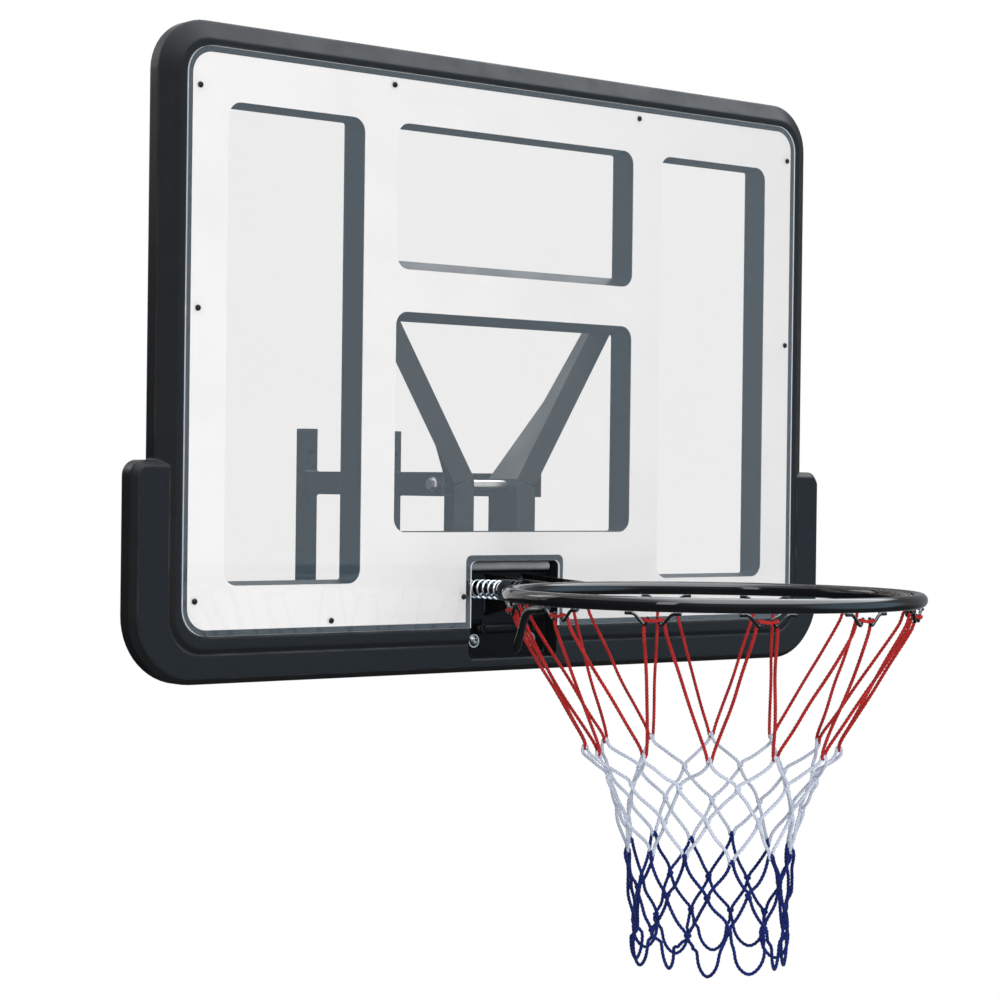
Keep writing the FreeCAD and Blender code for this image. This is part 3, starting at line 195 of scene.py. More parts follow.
def build_world():
    world = bpy.data.worlds.new("studio")
    world.use_nodes = True
    tree = world.node_tree
    tree.nodes.clear()
    rays = place(tree, "LightPath").outputs
    direction = place(tree, "TexCoord").outputs["Generated"]
    height = vector_part(tree, direction, "Z")
    low = spread(tree, height, ROOM_LOW * ROOM_STRENGTH, ROOM_STRENGTH, *LOW_EDGE)
    above = times(tree, low, spread(tree, height, 1.0, ROOM_CEILING, *CEILING_EDGE))
    beside = share_along(tree, direction, ROOM_RIGHT)
    strength = times(tree, above, spread(tree, beside, ROOM_LEFT, 1.0, *LEFT_EDGE))
    on_screen = spread(tree, share_along(tree, direction, SCREEN_WAY), 0.0, 1.0, *SCREEN_EDGE)
    mirrored = mix(tree, on_screen, background(tree, ROOM_COLOUR, strength),
                   background(tree, SCREEN_COLOUR, SCREEN_STRENGTH))
    fill = background(tree, FILL_COLOUR, FILL_STRENGTH)
    lit = mix(tree, rays["Is Glossy Ray"], fill, mirrored)
    straight = calculate(tree, "MAXIMUM", rays["Is Camera Ray"], rays["Is Transmission Ray"])
    seen = mix(tree, straight, lit, background(tree, PURE_WHITE, 1.0))
    place(tree, "OutputWorld", {"Surface": seen.outputs[0]})
    return world


scene.world = build_world()
print("World:", scene.world.name)

# %% [markdown]
# ## Floor
# The board hangs well above a pale floor. A wide plane would cut the picture with a horizon, so
# the floor is a disc that fades into the white backdrop at its rim, and keeps the soft shadow of
# the board in its middle.

# %% Floor
FLOOR_HEIGHT = -1.0
FLOOR_RADIUS = 1.9
FLOOR_FADE = (0.45 * FLOOR_RADIUS, 0.97 * FLOOR_RADIUS)
FLOOR_PAINT = (0.86, 0.87, 0.88, 1)
FLOOR_ROUGHNESS = (0.55, 0.8)


def object_spot(tree):
    """The place on an object, in metres."""
    return place(tree, "TexCoord").outputs["Object"]


def noise(tree, spot, scale, detail, roughness=0.5):
    sockets = {"Vector": spot, "Scale": scale, "Detail": detail, "Roughness": roughness}
    return place(tree, "TexNoise", sockets).outputs["Fac"]


def floor_paint():
    paint = bpy.data.materials.new("floor_paint")
    paint.use_nodes = True
    tree = paint.node_tree
    tree.nodes.clear()
    rays = place(tree, "LightPath").outputs
    spot = object_spot(tree)
    distance = place(tree, "VectorMath", {0: spot}, operation="LENGTH").outputs["Value"]
    fade = spread(tree, distance, 0.0, 1.0, *FLOOR_FADE)
    mirrored = calculate(tree, "MAXIMUM", rays["Is Glossy Ray"], rays["Is Transmission Ray"])
    seen = calculate(tree, "MAXIMUM", rays["Is Camera Ray"], mirrored)
    share = times(tree, fade, seen)
    roughness = spread(tree, noise(tree, spot, 40.0, 4.0), *FLOOR_ROUGHNESS)
    matt = place(tree, "BsdfPrincipled", {"Base Color": FLOOR_PAINT, "Roughness": roughness,
                                          "Specular IOR Level": 0.2})
    glow = place(tree, "Emission", {"Color": PURE_WHITE, "Strength": 1.0})
    place(tree, "OutputMaterial", {"Surface": mix(tree, share, matt, glow).outputs[0]})
    return paint


def to_object(shape, name, material):
    """Turns a shape into an object of the scene, with one material."""
    mesh = bpy.data.meshes.new(name)
    shape.to_mesh(mesh)
    shape.free()
    mesh.materials.append(material)
    made = bpy.data.objects.new(name, mesh)
    scene.collection.objects.link(made)
    return made


disc = bmesh.new()
bmesh.ops.create_circle(disc, cap_ends=True, radius=FLOOR_RADIUS, segments=96)
floor = to_object(disc, "floor", floor_paint())
middle = (cad_box[0] + cad_box[1]) / 2
floor.location = (middle.x, middle.y, FLOOR_HEIGHT)
floor.visible_glossy = False
print("Floor at", tuple(floor.location))

# %% [markdown]
# ## Softboxes
# Large area lamps stand in for softboxes. The one at the left lifts the side that faces the
# camera and draws bright lines on the springs, and the one behind shows the bracket to whoever
# walks round. The other two only fill: the ceiling already draws the bright band along the rim,
# and the lamp in front would lie across the clear sheet as a pale square, so mirrored rays don't
# find them.

# %% Softboxes
SOFTBOXES = [
    # name, place, width and height in metres, watts, found by mirrored rays
    ("overhead_softbox", (0.1, -1.5, 2.4), 2.6, 1.4, 7, False),
    ("left_softbox", (-2.5, -1.7, 1.0), 0.5, 1.6, 11, True),
    ("front_softbox", (-0.7, -3.0, 0.2), 1.6, 1.6, 43, False),
    ("rear_softbox", (-1.4, 2.3, 1.7), 1.4, 1.4, 26, True),
]
LIGHT_TARGET = Vector((0, -0.4, 0.1))

for name, spot, width, height, power, mirrored in SOFTBOXES:
    lamp = bpy.data.lights.new(name, "AREA")
    lamp.shape = "RECTANGLE"
    lamp.size = width
    lamp.size_y = height
    lamp.energy = power
    softbox = bpy.data.objects.new(name, lamp)
    softbox.location = spot
    softbox.rotation_euler = (LIGHT_TARGET - Vector(spot)).to_track_quat("-Z", "Y").to_euler()
    softbox.visible_camera = False
    softbox.visible_glossy = mirrored
    softbox.visible_transmission = mirrored
    scene.collection.objects.link(softbox)
print(len(SOFTBOXES), "softboxes")

# %% [markdown]
# ## Effects shared by the finishes
# Grain, softened edges, dust and hairline scratches turn up on several materials. Copying their
# nodes into each works, but a change then has to be made five times, so each effect is a node
# group that gives out masks, heights and normals. They read object coordinates, which are metres
# here, so one scale means the same size on every piece.


# %% Group helper
def new_group(name, inputs, outputs):
    """An empty node group with number inputs; outputs gives each output's kind of socket."""
    group = bpy.data.node_groups.new(name, "ShaderNodeTree")
    for label, default in inputs.items():
        socket = group.interface.new_socket(label, in_out="INPUT", socket_type="NodeSocketFloat")
        socket.default_value = default
    for label, kind in outputs.items():
        group.interface.new_socket(label, in_out="OUTPUT", socket_type="NodeSocket" + kind)
    return group, group.nodes.new("NodeGroupInput").outputs


def close_group(group, **results):
    ends = group.nodes.new("NodeGroupOutput").inputs
    for label, source in results.items():
        group.links.new(source, ends[label])
    print("Effect:", group.name)
    return group


def use(tree, group, **values):
    """Places an effect in a finish with its own values, and gives its outputs."""
    return place(tree, "Group", values, node_tree=group).outputs


print("Group helpers ready")

# %% Surface grain
SLOW_SHARE = 0.03
# Most of a noise lies between these
MIDDLE_NOISE = (0.35, 0.65)
WIDE_NOISE = (0.3, 0.7)


def build_surface_grain():
    """Fine relief of moulded or sprayed surfaces, and slow changes of tone across them."""
    group, given = new_group("surface_grain", {"Scale": 600.0}, {"Height": "Float", "Tone": "Float"})
    spot = object_spot(group)
    fine = noise(group, spot, given["Scale"], 3.0)
    slow = noise(group, spot, times(group, given["Scale"], SLOW_SHARE), 5.0, 0.6)
    return close_group(group, Height=fine, Tone=slow)


surface_grain = build_surface_grain()

# %% Softened edges
EDGE_TURN = (0.75, 0.96)


def build_softened_edges():
    """No real edge is knife sharp: a rounded normal at edges, and a mask of where they are."""
    group, given = new_group("softened_edges", {"Radius": 0.001}, {"Normal": "Vector", "Edge": "Float"})
    rounded = place(group, "Bevel", {"Radius": given["Radius"]}, samples=6).outputs["Normal"]
    flat = place(group, "NewGeometry").outputs["Normal"]
    edge = spread(group, share_along(group, rounded, flat), 1.0, 0.0, *EDGE_TURN)
    return close_group(group, Normal=rounded, Edge=edge)


softened_edges = build_softened_edges()

# %% Settled dust
DUSTY_SLOPE = (0.25, 0.95)
DUST_PATCHES = (0.35, 0.7)
THIN_DUST = 0.25


def build_settled_dust():
    """A patchy film on surfaces that face up."""
    group, given = new_group("settled_dust", {"Amount": 0.3}, {"Mask": "Float"})
    facing = place(group, "NewGeometry").outputs["Normal"]
    lying = spread(group, vector_part(group, facing, "Z"), 0.0, 1.0, *DUSTY_SLOPE)
    patches = noise(group, object_spot(group), 55.0, 6.0, 0.7)
    patchy = spread(group, patches, THIN_DUST, 1.0, *DUST_PATCHES)
    film = times(group, lying, patchy)
    return close_group(group, Mask=times(group, film, given["Amount"]))


settled_dust = build_settled_dust()

# %% Hairline scratches
# Turn in radians, and share of the scale
SCRATCH_WAYS = [(0.35, 1.0), (-0.6, 1.7), (1.2, 0.8)]
SCRATCH_STRETCH = 0.025
SCRATCH_LEVEL = 0.62


def build_hairlines():
    """Thin stray scratches: the middle line of strongly stretched noise, in three directions."""
    group, given = new_group("hairlines", {"Scale": 260.0, "Width": 0.006}, {"Mask": "Float"})
    spot = object_spot(group)
    total = None
    for angle, share in SCRATCH_WAYS:
        turned = place(group, "Mapping", {"Vector": spot, "Rotation": (0.2, angle, 0.1),
                                          "Scale": (1, 1, SCRATCH_STRETCH)})
        scale = times(group, given["Scale"], share)
        streaks = noise(group, turned.outputs[0], scale, 1.0)
        away = calculate(group, "ABSOLUTE", calculate(group, "SUBTRACT", streaks, SCRATCH_LEVEL))
        line = place(group, "MapRange", {"Value": away, "From Max": given["Width"],
                                         "To Min": 1.0, "To Max": 0.0}).outputs["Result"]
        total = line if total is None else calculate(group, "MAXIMUM", total, line)
    return close_group(group, Mask=total)


hairlines = build_hairlines()

# %% Twisted cord
# Share of the colour left in the grooves between strands, where shade is painted
GROOVE_PAINTED_SHADE = 0.2
SOILED_TONE = 0.55
RIDGE_TOP = 0.8


def build_twisted_cord():
    """Painted shade in the grooves, soiling and fuzz of a twisted cord. The UV map's first side goes once
    round its strands.
    """
    group, given = new_group("twisted_cord", {"Strands": 3.0}, {"Height": "Float", "Tone": "Float"})
    coordinates = place(group, "TexCoord").outputs
    across = vector_part(group, coordinates["UV"], "X")
    phase = times(group, times(group, across, given["Strands"]), pi)
    ridge = calculate(group, "ABSOLUTE", calculate(group, "COSINE", phase))
    fibre = noise(group, coordinates["Object"], 2600.0, 2.0)
    soiling = noise(group, coordinates["Object"], 45.0, 4.0)
    # Painted shade in the grooves between strands, and random soiling
    shade = times(group, spread(group, ridge, GROOVE_PAINTED_SHADE, 1.0, 0.0, RIDGE_TOP),
                  spread(group, soiling, SOILED_TONE, 1.0, *WIDE_NOISE))
    return close_group(group, Height=fibre, Tone=shade)


twisted_cord = build_twisted_cord()

# %% [markdown]
# ## Finishes
# Each material slot of the record gets one finish. A finish keeps its Principled shader in the
# open, sets what is the same everywhere on its sockets, and links only what really changes.


# %% Finish helper
finishes = {}


def new_finish(slot, **constants):
    """A material with one Principled shader whose constant sockets are set."""
    material = bpy.data.materials.new(slot)
    material.use_nodes = True
    tree = material.node_tree
    shader = tree.nodes["Principled BSDF"]
    for label, setting in constants.items():
        shader.inputs[label.replace("_", " ")].default_value = setting
    finishes[slot] = material
    return tree, shader


def tint(tree, share, first, second):
    """A colour between two colours or links, by share."""
    node = place(tree, "Mix", {0: share, 6: first, 7: second}, data_type="RGBA")
    return node.outputs[2]


def vary(tree, shader, **changing):
    """Links what changes over the surface; an underscore in a name stands for a space."""
    for label, source in changing.items():
        tree.links.new(source, shader.inputs[label.replace("_", " ")])


def relief(tree, height, depth, strength=1.0, normal=None):
    """A normal raised by a height; depth is the height of the relief in metres."""
    sockets = {"Height": height, "Distance": depth, "Strength": strength}
    if normal is not None:
        sockets["Normal"] = normal
    return place(tree, "Bump", sockets).outputs["Normal"]


print("Finish helpers ready")

# %% [markdown]
# ### Black coatings
# Panel, bracket, rim, caps and small steel are all black, but not the same black: the moulded
# panel is satin with a fine grain, the bracket is powder coated, and the rim is glossy, apart
# from its satin carrier. One recipe makes them related, and its values make them different. Edges
# are a little lighter where handling has worn them, and on the panel also from a painted highlight
# along its rounded edges. Dust lies on what faces up.

# %% Black coatings
RIM_BLACK = (0.006, 0.0062, 0.007, 1)
FAINT_WEAR = (0.05, 0.05, 0.052, 1)
EDGE_WEAR_AND_HIGHLIGHT = (0.15, 0.6)
SCUFF_SHARE = 0.06
BLACK_COATINGS = {
    # name: colour, colour of worn edges with painted highlight, roughness low and high, grain scale,
    # relief, edge radius, dust, mirror
    # The panel's edge colour is raised, so that its edges also carry a painted highlight
    "moulded_plastic": ((0.0090, 0.0100, 0.0112, 1), (0.12, 0.124, 0.13, 1), 0.38, 0.50, 900, 0.00003,
                        0.0050, 0.06, 0.14),
    "bracket_paint": ((0.008, 0.0083, 0.009, 1), (0.18, 0.188, 0.20, 1), 0.32, 0.46, 420, 0.00005,
                      0.0014, 0.07, 0.45),
    "rim_paint": (RIM_BLACK, FAINT_WEAR, 0.05, 0.11, 240, 0.00004, 0.0008, 0.02, 0.50),
    "carrier_paint": (RIM_BLACK, FAINT_WEAR, 0.28, 0.42, 240, 0.00004, 0.0008, 0.02, 0.06),
    "black_steel": ((0.008, 0.008, 0.009, 1), (0.09, 0.09, 0.094, 1), 0.40, 0.55, 700, 0.00003,
                    0.0004, 0.04, 0.30),
    "cap_plastic": ((0.012, 0.0122, 0.013, 1), FAINT_WEAR, 0.45, 0.6, 1200, 0.00005, 0.0006, 0.20, 0.30),
}


def black_coating(slot, colour, worn_lit_colour, smooth, rough, grain_scale, grain_depth, edge_radius, dust, mirror):
    tree, shader = new_finish(slot, Specular_IOR_Level=mirror)
    grain = use(tree, surface_grain, Scale=grain_scale)
    edges = use(tree, softened_edges, Radius=edge_radius)
    film = use(tree, settled_dust, Amount=dust)
    marks = use(tree, hairlines, Scale=320.0, Width=0.004)
    # Lighter edges: wear from handling, and on the panel also a painted highlight
    wear_and_highlight = spread(tree, grain["Tone"], *EDGE_WEAR_AND_HIGHLIGHT, *MIDDLE_NOISE)
    worn_lit_edges = times(tree, edges["Edge"], wear_and_highlight)
    scuffed = times(tree, marks["Mask"], SCUFF_SHARE)
    light = calculate(tree, "MAXIMUM", worn_lit_edges, scuffed)
    pale = calculate(tree, "ADD", light, film["Mask"], clamp=True)
    vary(tree, shader, Base_Color=tint(tree, pale, colour, worn_lit_colour),
         Roughness=spread(tree, grain["Tone"], smooth, rough, *WIDE_NOISE),
         Normal=relief(tree, grain["Height"], grain_depth, 0.6, edges["Normal"]))


for slot, values in BLACK_COATINGS.items():
    black_coating(slot, *values)
print("Black coatings:", ", ".join(BLACK_COATINGS))

# %% [markdown]
# ### Rim paint with painted hem light
# The base of the rim sits in a pocket, whose top edge shades its rolled top edge. A pale band of
# painted light on the roll stands in for the light that catches it. A band by upward normals would
# leave the roll's front black, so here the band is laid on by height.

# %% Rim paint with painted hem light
# Heights between which the painted light on the roll grows, in metres
HEM_EDGE = (-0.0275, -0.0225)
# Colour of the painted light on the rim base's rolled edge
HEM_PAINTED_LIGHT = (0.48, 0.49, 0.50, 1)


def painted_hem_light_finish():
    tree, shader = new_finish("rim_paint_painted_hem_light", Specular_IOR_Level=0.04)
    grain = use(tree, surface_grain, Scale=240.0)
    height = vector_part(tree, object_spot(tree), "Z")
    # This film is painted light on the rolled edge, laid on by height
    film = times(tree, spread(tree, height, 0.0, 1.0, *HEM_EDGE),
                 spread(tree, grain["Tone"], 0.6, 1.0, *MIDDLE_NOISE))
    vary(tree, shader, Base_Color=tint(tree, film, RIM_BLACK, HEM_PAINTED_LIGHT),
         Roughness=spread(tree, film, 0.12, 0.6), Normal=relief(tree, grain["Height"], 0.00004, 0.6))


painted_hem_light_finish()
print("Dusty rim paint ready")

# %% [markdown]
# ### Zinc
# Springs, button screws and nuts are bright zinc. Plating is never even: it shows a faint cast
# of blue and yellow, and its gloss comes and goes in patches. The two low screws are handled when
# the rim is hung, so theirs is duller.

# %% Zinc
ZINC_PLATES = {
    # name: cool colour, warm colour, roughness low and high
    "zinc_steel": ((0.76, 0.78, 0.82, 1), (0.84, 0.83, 0.78, 1), 0.22, 0.38),
    "dull_zinc": ((0.36, 0.34, 0.32, 1), (0.44, 0.41, 0.37, 1), 0.30, 0.46),
}


def zinc_finish(name, cool, warm, smooth, rough):
    tree, shader = new_finish(name, Metallic=1.0)
    grain = use(tree, surface_grain, Scale=500.0)
    edges = use(tree, softened_edges, Radius=0.0004)
    cast = spread(tree, grain["Tone"], 0.0, 1.0, *MIDDLE_NOISE)
    vary(tree, shader, Base_Color=tint(tree, cast, cool, warm),
         Roughness=spread(tree, grain["Tone"], smooth, rough, *WIDE_NOISE),
         Normal=relief(tree, grain["Height"], 0.00002, 0.5, edges["Normal"]))


for name, values in ZINC_PLATES.items():
    zinc_finish(name, *values)
print("Zinc:", ", ".join(ZINC_PLATES))

# %% [markdown]
# ### Clear sheet and white mask
# The sheet is clear plastic with faint, uneven haze from wiping. Shadow rays and the soft fill
# ignore it, because nearly all light goes through. Its sawn edges are frosted, and light that runs
# inside the sheet leaves there as a pale line. A path tracer finds that light only after many
# bounces, so the edges glow faintly instead. From inside, the faces mirror nothing, because they
# would show the net a second time, and a much fainter glow stands for the even veil of such a
# mirror. The mask is a white film, slightly uneven. The glossy rim would mirror it as a broad pale
# band, which a photographer keeps off with a dark card, so mirrored rays pass it by.

# %% Clear sheet and white mask
SHEET_TINT = (0.835, 0.808, 0.790, 1)
SHEET_HAZED = (0.829, 0.802, 0.784, 1)
HAZE_ROUGHNESS = 0.02
HAZE_NOISE = (0.45, 0.8)
HAZE_TONE = (0.4, 0.7)
FROSTED = 0.55
SAWN_TURN = (0.3, 0.9)
EDGE_GLOW = (0.42, 0.44, 0.46, 1)
FACE_GLOW = (0.006, 0.009, 0.011, 1)
USUAL_MIRROR = 0.5
INK_WHITE = (0.90, 0.895, 0.89, 1)
INK_THIN = (0.86, 0.855, 0.85, 1)
THIN_NOISE = (0.45, 0.75)


def sheet_finish():
    tree, shader = new_finish("clear_plastic", Transmission_Weight=1.0, IOR=1.49, Emission_Strength=1.0)
    grain = use(tree, surface_grain, Scale=60.0)
    haze = spread(tree, grain["Tone"], 0.0, HAZE_ROUGHNESS, *HAZE_NOISE)
    surface = place(tree, "NewGeometry").outputs
    facing_front = calculate(tree, "ABSOLUTE", vector_part(tree, surface["Normal"], "Y"))
    sawn = spread(tree, facing_front, FROSTED, 0.0, *SAWN_TURN)
    tone = tint(tree, spread(tree, grain["Tone"], 0.0, 1.0, *HAZE_TONE), SHEET_TINT, SHEET_HAZED)
    glow = tint(tree, calculate(tree, "DIVIDE", sawn, FROSTED), FACE_GLOW, EDGE_GLOW)
    vary(tree, shader, Base_Color=tone, Roughness=calculate(tree, "MAXIMUM", haze, sawn),
         Emission_Color=glow, Specular_IOR_Level=spread(tree, surface["Backfacing"], USUAL_MIRROR, 0.0))


def ink_finish():
    tree, shader = new_finish("white_print", Specular_IOR_Level=0.2)
    grain = use(tree, surface_grain, Scale=300.0)
    thin = spread(tree, grain["Tone"], 0.0, 1.0, *THIN_NOISE)
    vary(tree, shader, Base_Color=tint(tree, thin, INK_WHITE, INK_THIN),
         Roughness=spread(tree, grain["Height"], 0.5, 0.65))


sheet_finish()
ink_finish()
clear_sheet = frame["nodes"]["clear_sheet"]
clear_sheet.visible_shadow = False
clear_sheet.visible_diffuse = False
frame["nodes"]["white_mask"].visible_glossy = False
print("Sheet and mask ready")

# %% [markdown]
# ### Net cord
# The cord is twisted from three strands. The mesh has the strands; the finish paints shade into the
# grooves between them and adds a short fuzz. The three colours share that and differ in dye only.

# %% Net cord
CORD_STRANDS = 3
CORD_DYE_AND_SHADE = {
    # slot: dye with painted shade, for the grooves, and dye on the ridges
    "red_cord": ((0.15, 0.0060, 0.006, 1), (0.45, 0.024, 0.022, 1)),
    "white_cord": ((0.33, 0.37, 0.45, 1), (0.57, 0.61, 0.72, 1)),
    "blue_cord": ((0.0026, 0.0052, 0.038, 1), (0.0075, 0.0200, 0.150, 1)),
}


def cord_finish(slot, shaded_groove, ridge):
    tree, shader = new_finish(slot, Specular_IOR_Level=0.15, Sheen_Weight=0.03, Sheen_Roughness=0.5)
    twist = use(tree, twisted_cord, Strands=CORD_STRANDS)
    # The groove colour is the dye darkened by painted shade
    vary(tree, shader, Base_Color=tint(tree, twist["Tone"], shaded_groove, ridge),
         Roughness=spread(tree, twist["Tone"], 0.95, 0.7),
         Normal=relief(tree, twist["Height"], 0.0002, 0.7))


for slot, dye_and_shade in CORD_DYE_AND_SHADE.items():
    cord_finish(slot, *dye_and_shade)
print("Cord finishes:", ", ".join(CORD_DYE_AND_SHADE))

# %% [markdown]
# ## Finishes on the CAD pieces
# The record says which slot each CAD piece takes. Only its material changes, not its shape or
# place. Three take another form of their slot's finish: the rim's base has painted light on its
# rolled top edge, its carrier is satin, and the two low screws are dull. A polarising filter takes
# the mirror image of the rim and its net off the clear sheet; here mirrored rays pass them by.

# %% Dress the CAD pieces
finish_of = {subpart["node"]: subpart["material_slot"] for subpart in frame["record"]["subparts"]}
finish_of.update(rim_base="rim_paint_painted_hem_light", rim_carrier="carrier_paint", base_screws="dull_zinc")
for node, piece in frame["nodes"].items():
    piece.data.materials.clear()
    piece.data.materials.append(finishes[finish_of[node]])
for node in frame["record"]["behaviour"]["bodies"]["rim"]:
    frame["nodes"][node].visible_glossy = False
print(len(finish_of), "CAD pieces dressed")

# %% [markdown]
# ## Sweeping a section along a line
# Cord, spring wire, weld seams and threads are all one section carried along a line. A curve with
# a bevel does that too, but a mesh keeps its own UV map, and can turn its section as twisted cord
# does, change thickness on the way, and be blended across a joint. The section's side direction
# turns as little as it can from one place to the next, and on a closed line what is left over is
# spread along the way.


# %% Sweep
def circle_section(radius, sides):
    turns = [2 * pi * side / sides for side in range(sides)]
    return [(radius * cos(turn), radius * sin(turn)) for turn in turns]


def directions(line, closed, facing):
    """At each place the way ahead, and a way to the side that turns as little as it can."""
    count = len(line)
    found = []
    side_way = facing
    for step, here in enumerate(line):
        before = line[step - 1] if step or closed else here
        after = line[(step + 1) % count] if step < count - 1 or closed else here
        ahead = (after - before).normalized()
        side_way = ahead.orthogonal() if side_way is None else side_way
        side_way = (side_way - ahead * side_way.dot(ahead)).normalized()
        found.append((ahead, side_way))
    return found


def mismatch(ways):
    """How far the way to the side has turned after one round of a closed line."""
    ahead, start = ways[0]
    arrived = ways[-1][1]
    return atan2(start.cross(arrived).dot(ahead), start.dot(arrived))


def sweep(shape, line, section, closed=False, facing=None, swell=None, lay=None):
    """Adds a section swept along a line. It may start facing a way, swell, or turn once in each lay."""
    uv = shape.loops.layers.uv.verify()
    count, sides = len(line), len(section)
    ways = directions(line, closed, facing)
    lengths = [0.0]
    for step, here in enumerate(line):
        lengths.append(lengths[-1] + (line[(step + 1) % count] - here).length)
    total = lengths[-1]
    turning = 2 * pi * round(total / lay) if lay else 0.0
    if closed:
        turning -= mismatch(ways)
    rings = []
    for step, (here, (ahead, side_way)) in enumerate(zip(line, ways)):
        turned = Matrix.Rotation(turning * lengths[step] / total, 3, ahead) @ side_way
        other_way = ahead.cross(turned)
        scale = swell(step / (count - 1)) if swell else 1.0
        rings.append([shape.verts.new(here + (turned * a + other_way * b) * scale) for a, b in section])
    for step in range(count if closed else count - 1):
        ring, following = rings[step], rings[(step + 1) % count]
        for side in range(sides):
            beside = (side + 1) % sides
            face = shape.faces.new((ring[side], ring[beside], following[beside], following[side]))
            for loop, (u, v) in zip(face.loops, ((side, step), (side + 1, step),
                                                 (side + 1, step + 1), (side, step + 1))):
                loop[uv].uv = (u / sides, lengths[v])
    if not closed:
        shape.faces.new(reversed(rings[0]))
        shape.faces.new(rings[-1])
    return total


def finish_piece(shape, name, slot, body=None, sharp=None):
    """Turns a shape into a piece with the slot's finish that rides on a body, if one is named."""
    bmesh.ops.recalc_face_normals(shape, faces=shape.faces[:])
    piece = to_object(shape, name, finishes[slot])
    mesh = piece.data
    mesh.shade_smooth()
    if sharp:
        mesh.set_sharp_from_angle(angle=radians(sharp))
    piece.visible_glossy = body != "rim"
    if body:
        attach(piece, body)
    print(f"{name}: {len(mesh.polygons)} faces")
    return piece


print("Sweep ready")

# %% [markdown]
# ## Net
# The net hangs from twelve pairs of hooks. Red cord zigzags from hook to hook in long legs, white
# cord makes two rows of diamonds, and blue cord closes the net in a narrow tube with loose loops
# at its foot. Cloth simulation could drop a net, but it settles differently each time a size
# changes. The rows of knots are known, so each cord is a closed zigzag through them, read from a
# NURBS spline, which bends as limp cord does. A small seeded disorder keeps the knots from
# standing in ranks.

# %% Net rows
ring_low, ring_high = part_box("rim_ring")
RING_CENTRE = (ring_low + ring_high) / 2
RING_BAR = ring_high.z - ring_low.z
RING_RADIUS = (ring_high.x - ring_low.x - RING_BAR) / 2
NET_LOOPS = 12
HALF_LOOPS = 2 * NET_LOOPS
# Drop below the ring and distance from its axis, in millimetres, from the first knots down
NET_ROWS = [(172, 143), (206, 120), (244, 105), (286, 94), (328, 90), (371, 88), (414, 84)]
FIRST, SECOND, THIRD, FOURTH, FIFTH, SIXTH, FOOT = range(len(NET_ROWS))
# How far a knot of the first row strays, and how much more in each row below it
STRAY_STEP = 0.06
STRAY_RADIUS = 1.6
STRAY_DROP = 2.6
ROW_LOOSER = 0.25
disorder = random.Random(5)


def net_spot(step, radius, drop, sideways=0.0):
    """A place on the net: step counts half loops from the board, the rest is in millimetres."""
    angle = 2 * pi * step / HALF_LOOPS
    outward = Vector((-sin(angle), cos(angle), 0))
    along = Vector((-cos(angle), -sin(angle), 0))
    return RING_CENTRE + (outward * radius + along * sideways - Vector((0, 0, drop))) * MM


def stray(amount):
    return disorder.uniform(-amount, amount)


knots = {}
for row, (drop, radius) in enumerate(NET_ROWS):
    loose = 1.0 + ROW_LOOSER * row
    for step in range((row + 1) % 2, HALF_LOOPS, 2):
        knots[row, step] = (step + stray(STRAY_STEP * loose), radius + stray(STRAY_RADIUS * loose),
                            drop + stray(STRAY_DROP * loose))
print(len(knots), "knots in", len(NET_ROWS), "rows")

# %% Limp cord
# In millimetres: radius, length of one turn of the twist, and length of one step of the mesh
CORD_RADIUS = 2.1
CORD_LAY = 14.0
CORD_STEP = 1.3
STRAND_LOBE = 0.10


def cord_section(radius, sides=12):
    """The outline of twisted cord, with a lobe for each strand."""
    outline = []
    for x, y in circle_section(radius * MM, sides):
        lobe = cos(CORD_STRANDS * atan2(y, x))
        reach = 1.0 - STRAND_LOBE + STRAND_LOBE * lobe
        outline.append((reach * x, reach * y))
    return outline


def settle(route, closed=True):
    """The smooth line that cord takes along a route, read from a NURBS spline."""
    curve = bpy.data.curves.new("cord_route", "CURVE")
    curve.dimensions = "3D"
    spline = curve.splines.new("NURBS")
    spline.points.add(len(route) - 1)
    for control, spot in zip(spline.points, route):
        control.co = (*spot, 1)
    spline.use_cyclic_u = closed
    spline.use_endpoint_u = not closed
    spline.order_u = 3
    spline.resolution_u = 10
    holder = bpy.data.objects.new("cord_route", curve)
    read = bpy.data.meshes.new_from_object(holder)
    line = [vertex.co.copy() for vertex in read.vertices]
    bpy.data.meshes.remove(read)
    bpy.data.objects.remove(holder)
    bpy.data.curves.remove(curve)
    return line


def paced(line, pace):
    """The places met when a closed line is walked with even steps."""
    places = []
    ahead = 0.0
    for here, there in zip(line, line[1:] + line[:1]):
        length = (there - here).length
        while ahead < length:
            places.append(here.lerp(there, ahead / length))
            ahead += pace
        ahead -= length
    return places


def add_cord(shape, route):
    """Lays a closed cord along a route, and gives its length."""
    line = paced(settle(route), CORD_STEP * MM)
    return sweep(shape, line, cord_section(CORD_RADIUS), closed=True, lay=CORD_LAY * MM)


print("Cord is", 2 * CORD_RADIUS, "mm thick and turns once in", CORD_LAY, "mm")

# %% Ways of the cord
# A turn of cord at a knot: side, share of its width, and share of its rise
BIGHT_TURN = [(-1, 1.5, -2.2), (-1, 1.0, 0.7), (1, 1.0, 0.7), (1, 1.5, -2.2)]
# Half of the way past a knot: down, aside and out of the net, in millimetres
CROSSING_FALL = 4.5
CROSSING_ASIDE = 1.4
CROSSING_OUT = 0.9 * CORD_RADIUS
KNOT_TICKS = 30
KNOT_LEAN = 0.6


def slack(first, second, share, amount):
    """A place on the way between two others, a little off the straight line."""
    off = Vector((stray(amount), stray(amount), stray(amount) - 0.5 * amount)) * MM
    return first.lerp(second, share) + off


